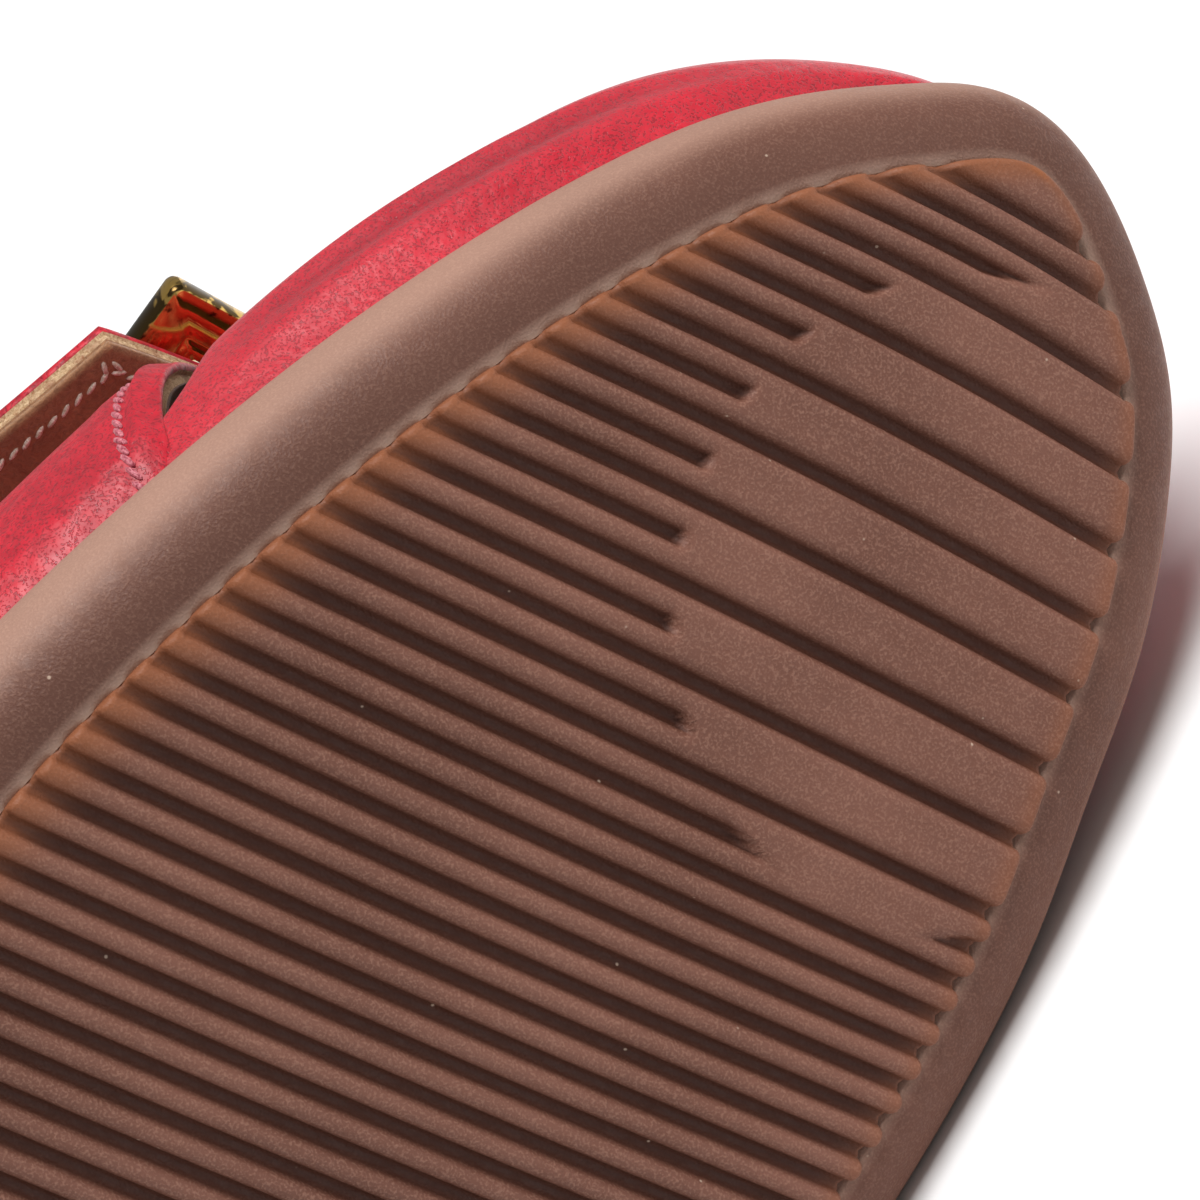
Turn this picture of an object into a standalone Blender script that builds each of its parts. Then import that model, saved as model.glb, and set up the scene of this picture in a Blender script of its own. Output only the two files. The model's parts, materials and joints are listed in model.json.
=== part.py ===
"""Ballet flat, right shoe: a rubber unit sole with a ribbed tread, a hollow leather upper with a band across the
instep, an insole, a closing strap with a free end, and a rectangular frame buckle.

The shoe is shaped upright in its own axes, X to its outer side, Y to its toe and Z up from the tread, with Y = 0
at the back of the tread. At the end the empty that carries all pieces lays it on its inner side.
"""
import bpy
import bmesh
import numpy as np
from collections import namedtuple
from math import asin, ceil, cos, floor, hypot, pi, radians, sin, sqrt
from mathutils import Matrix, Vector

# Sole, in metres
SOLE_LENGTH = 0.2485
BALL_WIDTH = 0.0810
WAIST_WIDTH = 0.0590
HEEL_WIDTH = 0.0608
RIM_WIDTH = 0.0065
RIM_BOW = 0.0060
TREAD_STEP = 0.0011
FOREFOOT_HEIGHT = 0.0104
HEEL_HEIGHT = 0.0160
TOE_SPRING = 0.0142
ARCH_LIFT = 0.0042
LIP_RADIUS = 0.0006

# Tread ribs
RIB_PITCH = 0.0027
GROOVE_WIDTH = 0.0014
GROOVE_DEPTH = 0.0010
GROOVE_FLOOR = 0.0008
TOE_PAD_RADIUS = 0.0221
HEEL_PAD_RADIUS = 0.0130
SIDE_PAD_RADIUS = 0.0600

# Upper
UPPER_INSET = 0.0006
VAMP_WALL = 0.0018
QUARTER_WALL = 0.0024
QUARTER_STEP = 0.0016
BAND_LIFT = 0.0008
VAMP_BULGE = 0.0031
QUARTER_BULGE = 0.0016
TOE_BOX_HEIGHT = 0.0198
TOE_ROUND = 0.0175
INSTEP_HEIGHT = 0.0370
ANKLE_HEIGHT = 0.0720
SIDE_HEIGHT = 0.0260
COUNTER_HEIGHT = 0.0440
VAMP_LENGTH = 0.0376
BAND_WIDTH = 0.0280
THROAT_DEPTH = 0.0260

# Insole, strap and buckle
INSOLE_THICKNESS = 0.0025
STRAP_WIDTH = 0.0240
STRAP_THICKNESS = 0.0028
STRAP_ROOT_THICKNESS = 0.0020
STRAP_OVERHANG = 0.0018
STRAP_DROP = 0.0052
STRAP_END_SKEW = 0.36
BUCKLE_LENGTH = 0.0240
BUCKLE_SETBACK = 0.0076
BUCKLE_TURN = 4.0
BUCKLE_CORNER = 0.0014
BUCKLE_OVERHANG = 0.0040
BUCKLE_BAR = 0.0046
BUCKLE_THICKNESS = 0.0030

# Clearance between neighbouring pieces
GAP = 0.0003

LATERAL = 1
MEDIAL = -1

# The tread's outline, heel to toe. along is a share of the tread's length, lateral and medial are shares of the
# tread's width at the named place, measured from the heel-to-toe line.
OutlineRow = namedtuple("OutlineRow", "along width_at lateral medial")
OUTLINE = [OutlineRow(*row) for row in (
    (0.019, HEEL_WIDTH, 0.385, -0.210),
    (0.049, HEEL_WIDTH, 0.515, -0.340),
    (0.100, HEEL_WIDTH, 0.585, -0.410),
    (0.185, HEEL_WIDTH, 0.598, -0.410),
    (0.291, WAIST_WIDTH, 0.612, -0.383),
    (0.397, WAIST_WIDTH, 0.640, -0.385),
    (0.503, BALL_WIDTH, 0.482, -0.318),
    (0.609, BALL_WIDTH, 0.537, -0.402),
    (0.673, BALL_WIDTH, 0.548, -0.442),
    (0.753, BALL_WIDTH, 0.479, -0.471),
    (0.799, BALL_WIDTH, 0.413, -0.475),
    (0.844, BALL_WIDTH, 0.335, -0.466),
    (0.889, BALL_WIDTH, 0.240, -0.459),
    (0.933, BALL_WIDTH, 0.126, -0.426),
    (0.955, BALL_WIDTH, 0.056, -0.396),
    (0.977, BALL_WIDTH, -0.040, -0.335),
    (0.992, BALL_WIDTH, -0.128, -0.275),
)]
HEEL_TIP = 0.088
TOE_TIP = -0.205

BALL_ALONG = 0.673
TOE_SPRING_POWER = 2.06
ARCH_SPAN = (0.26, 0.60)
HEEL_RISE_SPAN = (0.30, 0.62)
FAN_ALONG = 0.150
FAN_BLEND = 0.100

TREAD_LENGTH = SOLE_LENGTH - 2 * RIM_WIDTH
TREAD_WIDTH = {w: w - 2 * RIM_WIDTH for w in (HEEL_WIDTH, WAIST_WIDTH, BALL_WIDTH)}
BALL_Y = BALL_ALONG * TREAD_LENGTH


def ease(t):
    """A soft 0-to-1 step."""
    t = np.clip(t, 0.0, 1.0)
    return t * t * (3 - 2 * t)


def closed_spline(points, per_span=60):
    """A smooth closed curve through points, as many samples on each span."""
    p = np.array(points, dtype=float)
    n = len(p)
    chord = np.linalg.norm(np.roll(p, -1, axis=0) - p, axis=1)
    before = np.roll(chord, 1)
    system = np.zeros((n, n))
    right = np.zeros((n, 2))
    for i in range(n):
        system[i, i - 1] += chord[i]
        system[i, i] += 2 * (chord[i] + before[i])
        system[i, (i + 1) % n] += before[i]
        ahead = (p[(i + 1) % n] - p[i]) / chord[i]
        behind = (p[i] - p[i - 1]) / before[i]
        right[i] = 3 * (before[i] * ahead + chord[i] * behind)
    tangent = np.linalg.solve(system, right)
    t = np.linspace(0, 1, per_span, endpoint=False)[:, None]
    spans = []
    for i in range(n):
        j = (i + 1) % n
        span = (2 * t**3 - 3 * t**2 + 1) * p[i] + (t**3 - 2 * t**2 + t) * chord[i] * tangent[i]
        span += (-2 * t**3 + 3 * t**2) * p[j] + (t**3 - t**2) * chord[i] * tangent[j]
        spans.append(span)
    return np.vstack(spans)


def tread_outline():
    """Dense tread outline, counter-clockwise from the heel's lateral side, with its outward normals."""
    length = TREAD_LENGTH
    loop = [(HEEL_TIP * TREAD_WIDTH[HEEL_WIDTH], 0.0)]
    loop += [(row.lateral * TREAD_WIDTH[row.width_at], row.along * length) for row in OUTLINE]
    loop.append((TOE_TIP * TREAD_WIDTH[BALL_WIDTH], length))
    loop += [(row.medial * TREAD_WIDTH[row.width_at], row.along * length) for row in reversed(OUTLINE)]
    curve = closed_spline(loop)
    ahead = np.roll(curve, -1, axis=0) - np.roll(curve, 1, axis=0)
    normal = np.stack([ahead[:, 1], -ahead[:, 0]], axis=1)
    normal /= np.linalg.norm(normal, axis=1)[:, None]
    return curve, normal


def split_sides():
    """Tables of y, x and outward normal for the lateral and the medial side, both from heel to toe."""
    curve, normal = tread_outline()
    heel = int(np.argmin(curve[:, 1]))
    curve = np.roll(curve, -heel, axis=0)
    normal = np.roll(normal, -heel, axis=0)
    toe = int(np.argmax(curve[:, 1]))
    lateral = np.hstack([curve[: toe + 1], normal[: toe + 1]])
    medial = np.hstack([curve[toe:], normal[toe:]])
    medial = np.vstack([medial, lateral[:1]])[::-1]
    return {LATERAL: lateral, MEDIAL: medial}


SIDES = split_sides()
HEEL_Y = float(SIDES[LATERAL][0, 1])
TOE_Y = float(SIDES[LATERAL][-1, 1])


def edge(y, side):
    """Tread edge at y on one side: x, y and the outward normal in plan."""
    table = SIDES[side]
    y = min(max(y, HEEL_Y), TOE_Y)
    x, nx, ny = (float(np.interp(y, table[:, 1], table[:, column])) for column in (0, 2, 3))
    size = hypot(nx, ny)
    return x, y, nx / size, ny / size


def tread_height(y):
    """Height of the tread's face: flat at the heel and behind the ball, raised in the waist and at the toe."""
    toe = max(0.0, (y - BALL_Y) / (TOE_Y - BALL_Y))
    start, end = (share * TREAD_LENGTH for share in ARCH_SPAN)
    waist = min(max((y - start) / (end - start), 0.0), 1.0)
    return TOE_SPRING * toe**TOE_SPRING_POWER + ARCH_LIFT * sin(pi * waist) ** 2


def tread_slope(y):
    """Angle of the tread's face along the shoe."""
    step = TREAD_LENGTH / 2000
    return np.arctan2(tread_height(y + step) - tread_height(y - step), 2 * step)


def sole_height(y):
    """Thickness of the sole over the tread's face."""
    start, end = (share * TREAD_LENGTH for share in HEEL_RISE_SPAN)
    front = float(ease((y - start) / (end - start)))
    level = FOREFOOT_HEIGHT * front + HEEL_HEIGHT * (1 - front)
    start, end = (share * TREAD_LENGTH for share in ARCH_SPAN)
    waist = min(max((y - start) / (end - start), 0.0), 1.0)
    return level - ARCH_LIFT * sin(pi * waist) ** 2


def sole_point(y, side, out, height):
    """Point beside the tread edge at y: out from the edge and height over the tread's face, along its slope."""
    x, y, nx, ny = edge(y, side)
    slope = float(tread_slope(y))
    dy = out * ny * cos(slope) - height * sin(slope)
    dz = out * ny * sin(slope) + height * cos(slope)
    return Vector((x + out * nx, y + dy, tread_height(y) + dz))


def stations(count, start=0.0, end=1.0):
    """Places along the tread, closer together towards both tips."""
    shares = (1 - np.cos(np.linspace(0, pi, count))) / 2
    return [HEEL_Y + (TOE_Y - HEEL_Y) * float(share) for share in shares if start <= share <= end]


def new_object(name, vertices, faces, material, smooth=True):
    """Object from vertices and faces: doubles merged and faces turned outward."""
    mesh = bpy.data.meshes.new(name)
    work = bmesh.new()
    made = [work.verts.new(point) for point in vertices]
    for face in faces:
        corners = []
        for index in face:
            if made[index] not in corners:
                corners.append(made[index])
        if len(corners) > 2:
            work.faces.new(corners)
    bmesh.ops.remove_doubles(work, verts=work.verts, dist=1e-6)
    bmesh.ops.dissolve_degenerate(work, edges=work.edges, dist=1e-6)
    bmesh.ops.recalc_face_normals(work, faces=work.faces)
    work.to_mesh(mesh)
    work.free()
    if smooth:
        mesh.shade_smooth()
        mesh.set_sharp_from_angle(angle=radians(38))
    if material:
        mesh.materials.append(material)
    shaped = bpy.data.objects.new(name, mesh)
    bpy.context.scene.collection.objects.link(shaped)
    return shaped


def new_material(name, color, roughness, metallic=0.0):
    """Principled material."""
    material = bpy.data.materials.new(name)
    material.use_nodes = True
    shader = material.node_tree.nodes["Principled BSDF"]
    shader.inputs["Base Color"].default_value = (*color, 1.0)
    shader.inputs["Roughness"].default_value = roughness
    shader.inputs["Metallic"].default_value = metallic
    material.diffuse_color = (*color, 1.0)
    return material


def ladder_solid(name, rings, material):
    """Closed solid from rings of side-by-side points, capped by rungs between the two sides.

    A ring is a list of (lateral point, medial point) from heel to toe, both ends being single points.
    """
    vertices = []
    faces = []
    count = len(rings[0])
    for ring in rings:
        for lateral, medial in ring:
            vertices += [lateral, medial]

    def index(level, rung, side):
        return 2 * (level * count + rung) + side

    for level in range(len(rings) - 1):
        for rung in range(count - 1):
            for side in (0, 1):
                faces.append((
                    index(level, rung, side), index(level, rung + 1, side),
                    index(level + 1, rung + 1, side), index(level + 1, rung, side),
                ))
    for level in (0, len(rings) - 1):
        for rung in range(count - 1):
            faces.append((
                index(level, rung, 0), index(level, rung + 1, 0),
                index(level, rung + 1, 1), index(level, rung, 1),
            ))
    return new_object(name, vertices, faces, material)


def ring_at(places, out, height_of):
    """Ring of sole points, level with height_of(y) over the tread's face."""
    return [
        (sole_point(y, LATERAL, out, height_of(y)), sole_point(y, MEDIAL, out, height_of(y)))
        for y in places
    ]


# Number of places along the whole sole
SOLE_STEPS = 46

# The rim's section: angle on the rim's round side, from under its foot to its lip
RIM_ANGLES = (-96, -72, -48, -24, 0, 16, 31)


def rim_levels():
    """Rings of the rim as (out, share of the sole's height), from the tread's face to the top."""
    foot = RIM_WIDTH - RIM_BOW
    bow_height = TREAD_STEP + RIM_BOW
    levels = [(0.0, 0.0)]
    for angle in RIM_ANGLES:
        turn = radians(angle)
        levels.append((foot + RIM_BOW * cos(turn), bow_height + RIM_BOW * sin(turn)))
    top = FOREFOOT_HEIGHT
    share = [(out, height / top) for out, height in levels]
    lip_out, lip_share = share[-1]
    share[-1] = (lip_out, min(lip_share, 1 - LIP_RADIUS / (2 * top)))
    share.append((lip_out - LIP_RADIUS, 1.0))
    return share


def outsole_body(material):
    """The sole without its grooves."""
    places = stations(SOLE_STEPS)
    rings = []
    for out, share in rim_levels():
        low = share * FOREFOOT_HEIGHT <= TREAD_STEP + 1e-5

        def height(y, share=share, low=low):
            return share * FOREFOOT_HEIGHT if low else share * sole_height(y)

        rings.append(ring_at(places, out, height))
    return ladder_solid("outsole", rings, material)


def spring_table():
    """Distance along the tread's face against y, zero at the ball."""
    y = np.linspace(HEEL_Y - RIM_WIDTH, TOE_Y + RIM_WIDTH, 1200)
    z = np.array([tread_height(value) for value in y])
    steps = np.hypot(np.diff(y), np.diff(z))
    along = np.concatenate([[0.0], np.cumsum(steps)])
    return y, along - float(np.interp(BALL_Y, y, along))


SPRING_Y, SPRING_ALONG = spring_table()

# Groups of grooves: first and last place as shares of the tread, and the round pad that every other groove leaves
# out, as its centre across and along in shares of the ball's tread width and the tread's length
GrooveGroup = namedtuple("GrooveGroup", "start end pad_across pad_along pad_radius")
GROOVE_GROUPS = [GrooveGroup(*row) for row in (
    (0.560, 0.990, -0.306, 0.875, TOE_PAD_RADIUS),
    (0.055, 0.215, 0.060, 0.135, HEEL_PAD_RADIUS),
)]
# Centre of the smooth area behind the ball, on the same scales
SIDE_PAD = (1.230, 0.395)
# How much wider a groove's mouth gets for each unit of height
GROOVE_FLARE = 0.3


def groove_places(start, end):
    """Number and y of each groove between two shares of the tread, one pitch apart and counted from the ball."""
    low, high = (float(np.interp(share * TREAD_LENGTH, SPRING_Y, SPRING_ALONG)) for share in (start, end))
    numbers = range(ceil(low / RIB_PITCH), floor(high / RIB_PITCH) + 1)
    return [(n, float(np.interp(n * RIB_PITCH, SPRING_ALONG, SPRING_Y))) for n in numbers]


def pad_span(y, centre, radius):
    """Stretch of x inside a round pad at y, or None."""
    reach = radius**2 - (y - centre[1]) ** 2
    if reach <= (GROOVE_WIDTH / 2) ** 2:
        return None
    half = sqrt(reach)
    return centre[0] - half, centre[0] + half


def cut_out(runs, span):
    """Runs of x with a span taken out, without stubs shorter than a groove's width."""
    if span is None:
        return runs
    left = []
    for low, high in runs:
        pieces = ((low, min(high, span[0])), (max(low, span[1]), high))
        left += [(a, b) for a, b in pieces if b - a > 2 * GROOVE_WIDTH]
    return left


def groove_runs(number, y, centre, radius):
    """Stretches of x that one groove takes."""
    runs = [(edge(y, MEDIAL)[0] - GROOVE_WIDTH, edge(y, LATERAL)[0] + GROOVE_WIDTH)]
    whole = radius == HEEL_PAD_RADIUS
    if whole or number % 2 == 0:
        runs = cut_out(runs, pad_span(y, centre, radius))
    if not whole and number % 2 == 0:
        side = (SIDE_PAD[0] * TREAD_WIDTH[BALL_WIDTH], SIDE_PAD[1] * TREAD_LENGTH)
        runs = cut_out(runs, pad_span(y, side, SIDE_PAD_RADIUS))
    return runs


def groove_cutters():
    """One mesh of closed bars, each the form of a stretch of groove."""
    vertices = []
    faces = []
    over = GROOVE_DEPTH
    profile = (
        (-GROOVE_WIDTH / 2 - over * GROOVE_FLARE, -over), (GROOVE_WIDTH / 2 + over * GROOVE_FLARE, -over),
        (GROOVE_FLOOR / 2, GROOVE_DEPTH), (-GROOVE_FLOOR / 2, GROOVE_DEPTH),
    )
    for group in GROOVE_GROUPS:
        centre = (group.pad_across * TREAD_WIDTH[BALL_WIDTH], group.pad_along * TREAD_LENGTH)
        for number, y in groove_places(group.start, group.end):
            slope = float(tread_slope(y))
            for low, high in groove_runs(number, y, centre, group.pad_radius):
                first = len(vertices)
                for x in (low, high):
                    for dy, dz in profile:
                        place = (
                            x, y + dy * cos(slope) - dz * sin(slope),
                            tread_height(y) + dy * sin(slope) + dz * cos(slope),
                        )
                        vertices.append(place)
                for i in range(4):
                    j = (i + 1) % 4
                    faces.append((first + i, first + j, first + 4 + j, first + 4 + i))
                faces.append((first, first + 1, first + 2, first + 3))
                faces.append((first + 4, first + 5, first + 6, first + 7))
    return new_object("groove_cutters", vertices, faces, None, smooth=False)


def make_outsole():
    """Rubber unit sole with its grooves cut."""
    body = outsole_body(new_material("gum_rubber", (0.195, 0.093, 0.062), 0.62))
    cutters = groove_cutters()
    cutters.hide_render = True
    cutters.display_type = "WIRE"
    cut = body.modifiers.new("grooves", "BOOLEAN")
    cut.operation = "DIFFERENCE"
    cut.solver = "EXACT"
    cut.object = cutters
    return body, cutters


# Heights of the arch's crest over the feather line behind the band, and of the collar, as shares of named sizes.
# along is a share of the tread.
HeightRow = namedtuple("HeightRow", "along height")
CREST = [HeightRow(*row) for row in ((0.0, ANKLE_HEIGHT), (0.42, ANKLE_HEIGHT), (0.715, INSTEP_HEIGHT))]
COLLAR = [HeightRow(*row) for row in (
    (0.0, COUNTER_HEIGHT), (0.06, 0.97 * COUNTER_HEIGHT), (0.20, 0.72 * COUNTER_HEIGHT),
    (0.40, SIDE_HEIGHT), (0.60, SIDE_HEIGHT),
)]
# Fullness of the arch's section over the toes and over the instep, the bend of the toe box's ridge, and how far the
# crest leans to the medial side as a share of the width
VAMP_SQUARE = 0.70
INSTEP_SQUARE = 0.84
TOE_RISE_POWER = 1.25
CREST_SIDE = 0.08

# Share of the way up the arch where the slot between vamp and band begins, and how far its two edges lie before the
# band's rear edge, as shares of the band's width
SlotRow = namedtuple("SlotRow", "up vamp_edge band_edge")
SLOT = [SlotRow(*row) for row in (
    (0.00, 0.84, 0.83),
    (0.21, 0.90, 0.88),
    (0.34, 1.03, 0.92),
    (0.50, 1.10, 0.965),
    (0.78, 1.125, 0.99),
    (1.00, 1.13, 1.00),
)]
BAND_REAR_Y = TOE_Y - VAMP_LENGTH - SLOT[-1].vamp_edge * BAND_WIDTH

# The quarter's overlap on the vamp's form: share of its step at the feather line, share of the arch's height where
# the step is whole, and the stretch of height over which the band lifts
STEP_AT_FOOT = 0.3
STEP_WHOLE = 0.12
LIFT_SPAN = (0.15, 0.45)

# The upper's grid: turns from the feather line to the crest, the row at which the slot starts, numbers of places on
# vamp and band, places round the throat as shares of its depth, and places along the quarter
ROWS = (0.0, 0.035, 0.07, 0.14, 0.24, 0.36, 0.50, 0.66, 0.83, 1.0)
SLOT_ROW = 2
VAMP_STEPS = 15
BAND_STEPS = 7
THROAT_STEPS = (0.012, 0.05, 0.13, 0.25, 0.42, 0.68, 1.0)
QUARTER_STEPS = 33
QUARTER_START = 0.02


def height_along(table, at):
    """Height from a short table at a place along the tread, with soft bends at its rows."""
    places = [row.along for row in table]
    values = [row.height for row in table]
    for low, high, a, b in zip(places, places[1:], values, values[1:]):
        if at <= high:
            return a + (b - a) * float(ease((at - low) / (high - low)))
    return values[-1]


def crest_rise(y, tip, inset):
    """Height of the arch's crest over the feather line, for a form inset by a wall."""
    behind = max(tip - y, 0.0)
    round_length = TOE_ROUND - inset
    toe = 1 - min(behind / round_length, 1.0)
    rise = (TOE_BOX_HEIGHT - inset) * sqrt(max(1 - toe * toe, 0.0))
    start = TOE_Y - TOE_ROUND
    instep_y = CREST[-1].along * TREAD_LENGTH
    if y >= instep_y:
        ramp = max(start - y, 0.0) / (start - instep_y)
        return rise + (INSTEP_HEIGHT - TOE_BOX_HEIGHT) * ramp**TOE_RISE_POWER
    return height_along(CREST, y / TREAD_LENGTH) - inset


def feather(y, side, inset):
    """Foot of the upper's wall at y: on top of the sole, inset from its lip."""
    lip = rim_levels()[-1][0]
    out = lip - UPPER_INSET - inset + LIP_RADIUS
    return sole_point(y, side, out, sole_height(y) + GAP)


def crest(y, inset):
    """Middle of the arch at y. Behind the fan point all arches share one middle, so that the walls turn round the
    heel."""
    lateral = feather(y, LATERAL, inset)
    medial = feather(y, MEDIAL, inset)
    tip = feather(TOE_Y, LATERAL, inset)
    middle = (lateral + medial) / 2
    fan = FAN_ALONG * TREAD_LENGTH
    rise = crest_rise(middle.y, tip.y, inset)
    if y < fan:
        at_fan = (feather(fan, LATERAL, inset) + feather(fan, MEDIAL, inset)) / 2
        return Vector((at_fan.x, at_fan.y, middle.z + rise))
    start = fan + FAN_BLEND * TREAD_LENGTH
    shift = CREST_SIDE * (lateral.x - medial.x) * float(ease((y - fan) / (start - fan)))
    return Vector((middle.x - shift, middle.y, middle.z + rise))


def vamp_share(y):
    """1 over the toes, falling softly to 0 at the band's rear edge."""
    return float(ease((y - BAND_REAR_Y) / (TOE_Y - TOE_ROUND - BAND_REAR_Y)))


def square(y):
    """Exponent of the arch's section: fuller over the toes, rounder over the instep."""
    share = vamp_share(y)
    return VAMP_SQUARE * share + INSTEP_SQUARE * (1 - share)


def rise_at(y, turn):
    """Share of the arch's height at a turn."""
    return max(sin(turn * pi / 2), 0.0) ** square(y)


def arch_point(y, side, turn, inset):
    """Point of the upper's form: turn runs from 0 at the feather line to 1 at the crest."""
    foot = feather(y, side, inset)
    top = crest(y, inset)
    inward = 1 - max(cos(turn * pi / 2), 0.0) ** square(y)
    up = rise_at(y, turn)
    _, _, nx, ny = edge(y, side)
    rise = top.z - foot.z
    bulge = VAMP_BULGE * vamp_share(y) + QUARTER_BULGE * (1 - vamp_share(y))
    swell = bulge * 4 * up * (1 - up) * min(rise / TOE_BOX_HEIGHT, 1.0)
    return Vector((
        foot.x + (top.x - foot.x) * inward + nx * swell,
        foot.y + (top.y - foot.y) * inward + ny * swell,
        foot.z + rise * up,
    ))


def turn_for(y, share):
    """Turn at which the arch has risen by a share of its height."""
    return asin(min(max(share, 0.0), 1.0) ** (1 / square(y))) * 2 / pi


def collar_turn(y):
    """Turn of the collar's edge at y, from the crest at the band's rear edge down to the sides."""
    behind = BAND_REAR_Y - y
    if behind <= 0:
        return 1.0
    rise = (crest(y, 0.0) - feather(y, LATERAL, 0.0)).z
    side = turn_for(y, height_along(COLLAR, y / TREAD_LENGTH) / rise)
    if behind >= THROAT_DEPTH:
        return side
    across = sqrt(1 - (1 - behind / THROAT_DEPTH) ** 2)
    reach = cos(side * pi / 2) ** square(y) * across
    return float(np.arccos(reach ** (1 / square(y)))) * 2 / pi


def slot_edge(up, column):
    """The y of the vamp's or the band's edge at a share of the arch's height."""
    shares = [row.up for row in SLOT]
    return BAND_REAR_Y + BAND_WIDTH * float(np.interp(up, shares, [getattr(row, column) for row in SLOT]))


def quarter_offset(y, up):
    """How far the quarter and band stand outside the vamp's form."""
    step = QUARTER_STEP * (STEP_AT_FOOT + (1 - STEP_AT_FOOT) * float(ease(up / STEP_WHOLE)))
    behind = (slot_edge(up, "band_edge") - y) / (BAND_WIDTH + THROAT_DEPTH)
    start, end = LIFT_SPAN
    return step + BAND_LIFT * float(ease((up - start) / (end - start))) * (1 - float(ease(behind)))


def upper_columns():
    """Stations of the upper from toe to heel. Each row holds the y, the turn and the outer and inner inset."""
    ups = [rise_at(BAND_REAR_Y + BAND_WIDTH, row) for row in ROWS]
    columns = []
    for step in np.linspace(0, 1, VAMP_STEPS):
        share = 1 - cos(step * pi / 2)
        rows = []
        for row, up in zip(ROWS, ups):
            y = TOE_Y + (slot_edge(up, "vamp_edge") - TOE_Y) * share
            rows.append((y, row, 0.0, VAMP_WALL))
        columns.append(("vamp", rows))
    for share in np.linspace(0, 1, BAND_STEPS):
        rows = []
        for row, up in zip(ROWS, ups):
            y = slot_edge(up, "band_edge") * (1 - share) + BAND_REAR_Y * share
            out = quarter_offset(y, up)
            rows.append((y, row, -out, QUARTER_WALL - out))
        columns.append(("band", rows))
    throat = [BAND_REAR_Y - THROAT_DEPTH * share for share in THROAT_STEPS]
    start = (throat[-1] - HEEL_Y) / (TOE_Y - HEEL_Y) - QUARTER_START
    rear = stations(QUARTER_STEPS, 0.0, start)[::-1]
    for y in throat + rear:
        top = collar_turn(y)
        rows = []
        for row in ROWS:
            out = quarter_offset(y, rise_at(y, row * top))
            rows.append((y, row * top, -out, QUARTER_WALL - out))
        columns.append(("quarter", rows))
    return columns


def make_upper():
    """Hollow upper: outer and inner form on one grid, the slot left out, and walls round every free edge."""
    columns = upper_columns()
    outer = {}
    inner = {}
    for j, (_, rows) in enumerate(columns):
        for side in (LATERAL, MEDIAL):
            for v, (y, turn, out, wall) in enumerate(rows):
                outer[j, side, v] = arch_point(y, side, turn, out)
                inner[j, side, v] = arch_point(y, side, turn, wall)
    names = {}
    label = {}
    points = []
    for key, point in outer.items():
        place = tuple(round(value * 1e7) for value in point)
        if place not in names:
            names[place] = len(points) // 2
            points += [point, inner[key]]
        label[key] = names[place]

    faces = []
    edges = {}
    for j in range(len(columns) - 1):
        slot = columns[j][0] == "vamp" and columns[j + 1][0] == "band"
        for side in (LATERAL, MEDIAL):
            for v in range(SLOT_ROW if slot else len(ROWS) - 1):
                around = [(j, v), (j + 1, v), (j + 1, v + 1), (j, v + 1)]
                around = [label[column, side, row] for column, row in around]
                if side == MEDIAL:
                    around.reverse()
                ring = [a for i, a in enumerate(around) if a != around[i - 1]]
                if len(ring) < 3:
                    continue
                faces.append([2 * a for a in ring])
                faces.append([2 * a + 1 for a in reversed(ring)])
                for a, b in zip(ring, ring[1:] + ring[:1]):
                    if (b, a) in edges:
                        del edges[b, a]
                    else:
                        edges[a, b] = True
    faces += [[2 * b, 2 * a, 2 * a + 1, 2 * b + 1] for a, b in edges]
    return new_object("upper", points, faces, new_material("red_leather", (0.47, 0.012, 0.035), 0.48))


# The insole's rounded edge, as shares of its thickness, and its number of places
EdgeRow = namedtuple("EdgeRow", "inward up")
INSOLE_EDGE = [EdgeRow(*row) for row in ((0.0, 0.0), (0.0, 0.4), (0.18, 0.8), (0.56, 1.0))]
INSOLE_STEPS = 30


def make_insole():
    """Thin padded sheet inside the upper."""
    places = stations(INSOLE_STEPS)
    wall = max(VAMP_WALL, QUARTER_WALL - STEP_AT_FOOT * QUARTER_STEP)
    lip = rim_levels()[-1][0] + LIP_RADIUS
    out = lip - UPPER_INSET - wall - GAP
    rings = []
    for row in INSOLE_EDGE:

        def height(y, share=row.up):
            return sole_height(y) + GAP + share * INSOLE_THICKNESS

        rings.append(ring_at(places, out - row.inward * INSOLE_THICKNESS, height))
    return ladder_solid("insole", rings, new_material("insole_sheet", (0.42, 0.27, 0.16), 0.85))


# Strap stations: turns on the medial side, from the root up to the crest, and down the lateral side to the place
# where the strap leaves the band. Its free part bends at a share of its length, and its thickness is whole at a share
# of the strap.
STRAP_MEDIAL = (0.42, 0.50, 0.58, 0.67, 0.78, 0.90)
STRAP_LATERAL = (1.0, 0.92, 0.84)
STRAP_FREE_STEPS = 7
STRAP_ACROSS = 7
STRAP_BEND = 0.55
STRAP_WHOLE = 0.6


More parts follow.
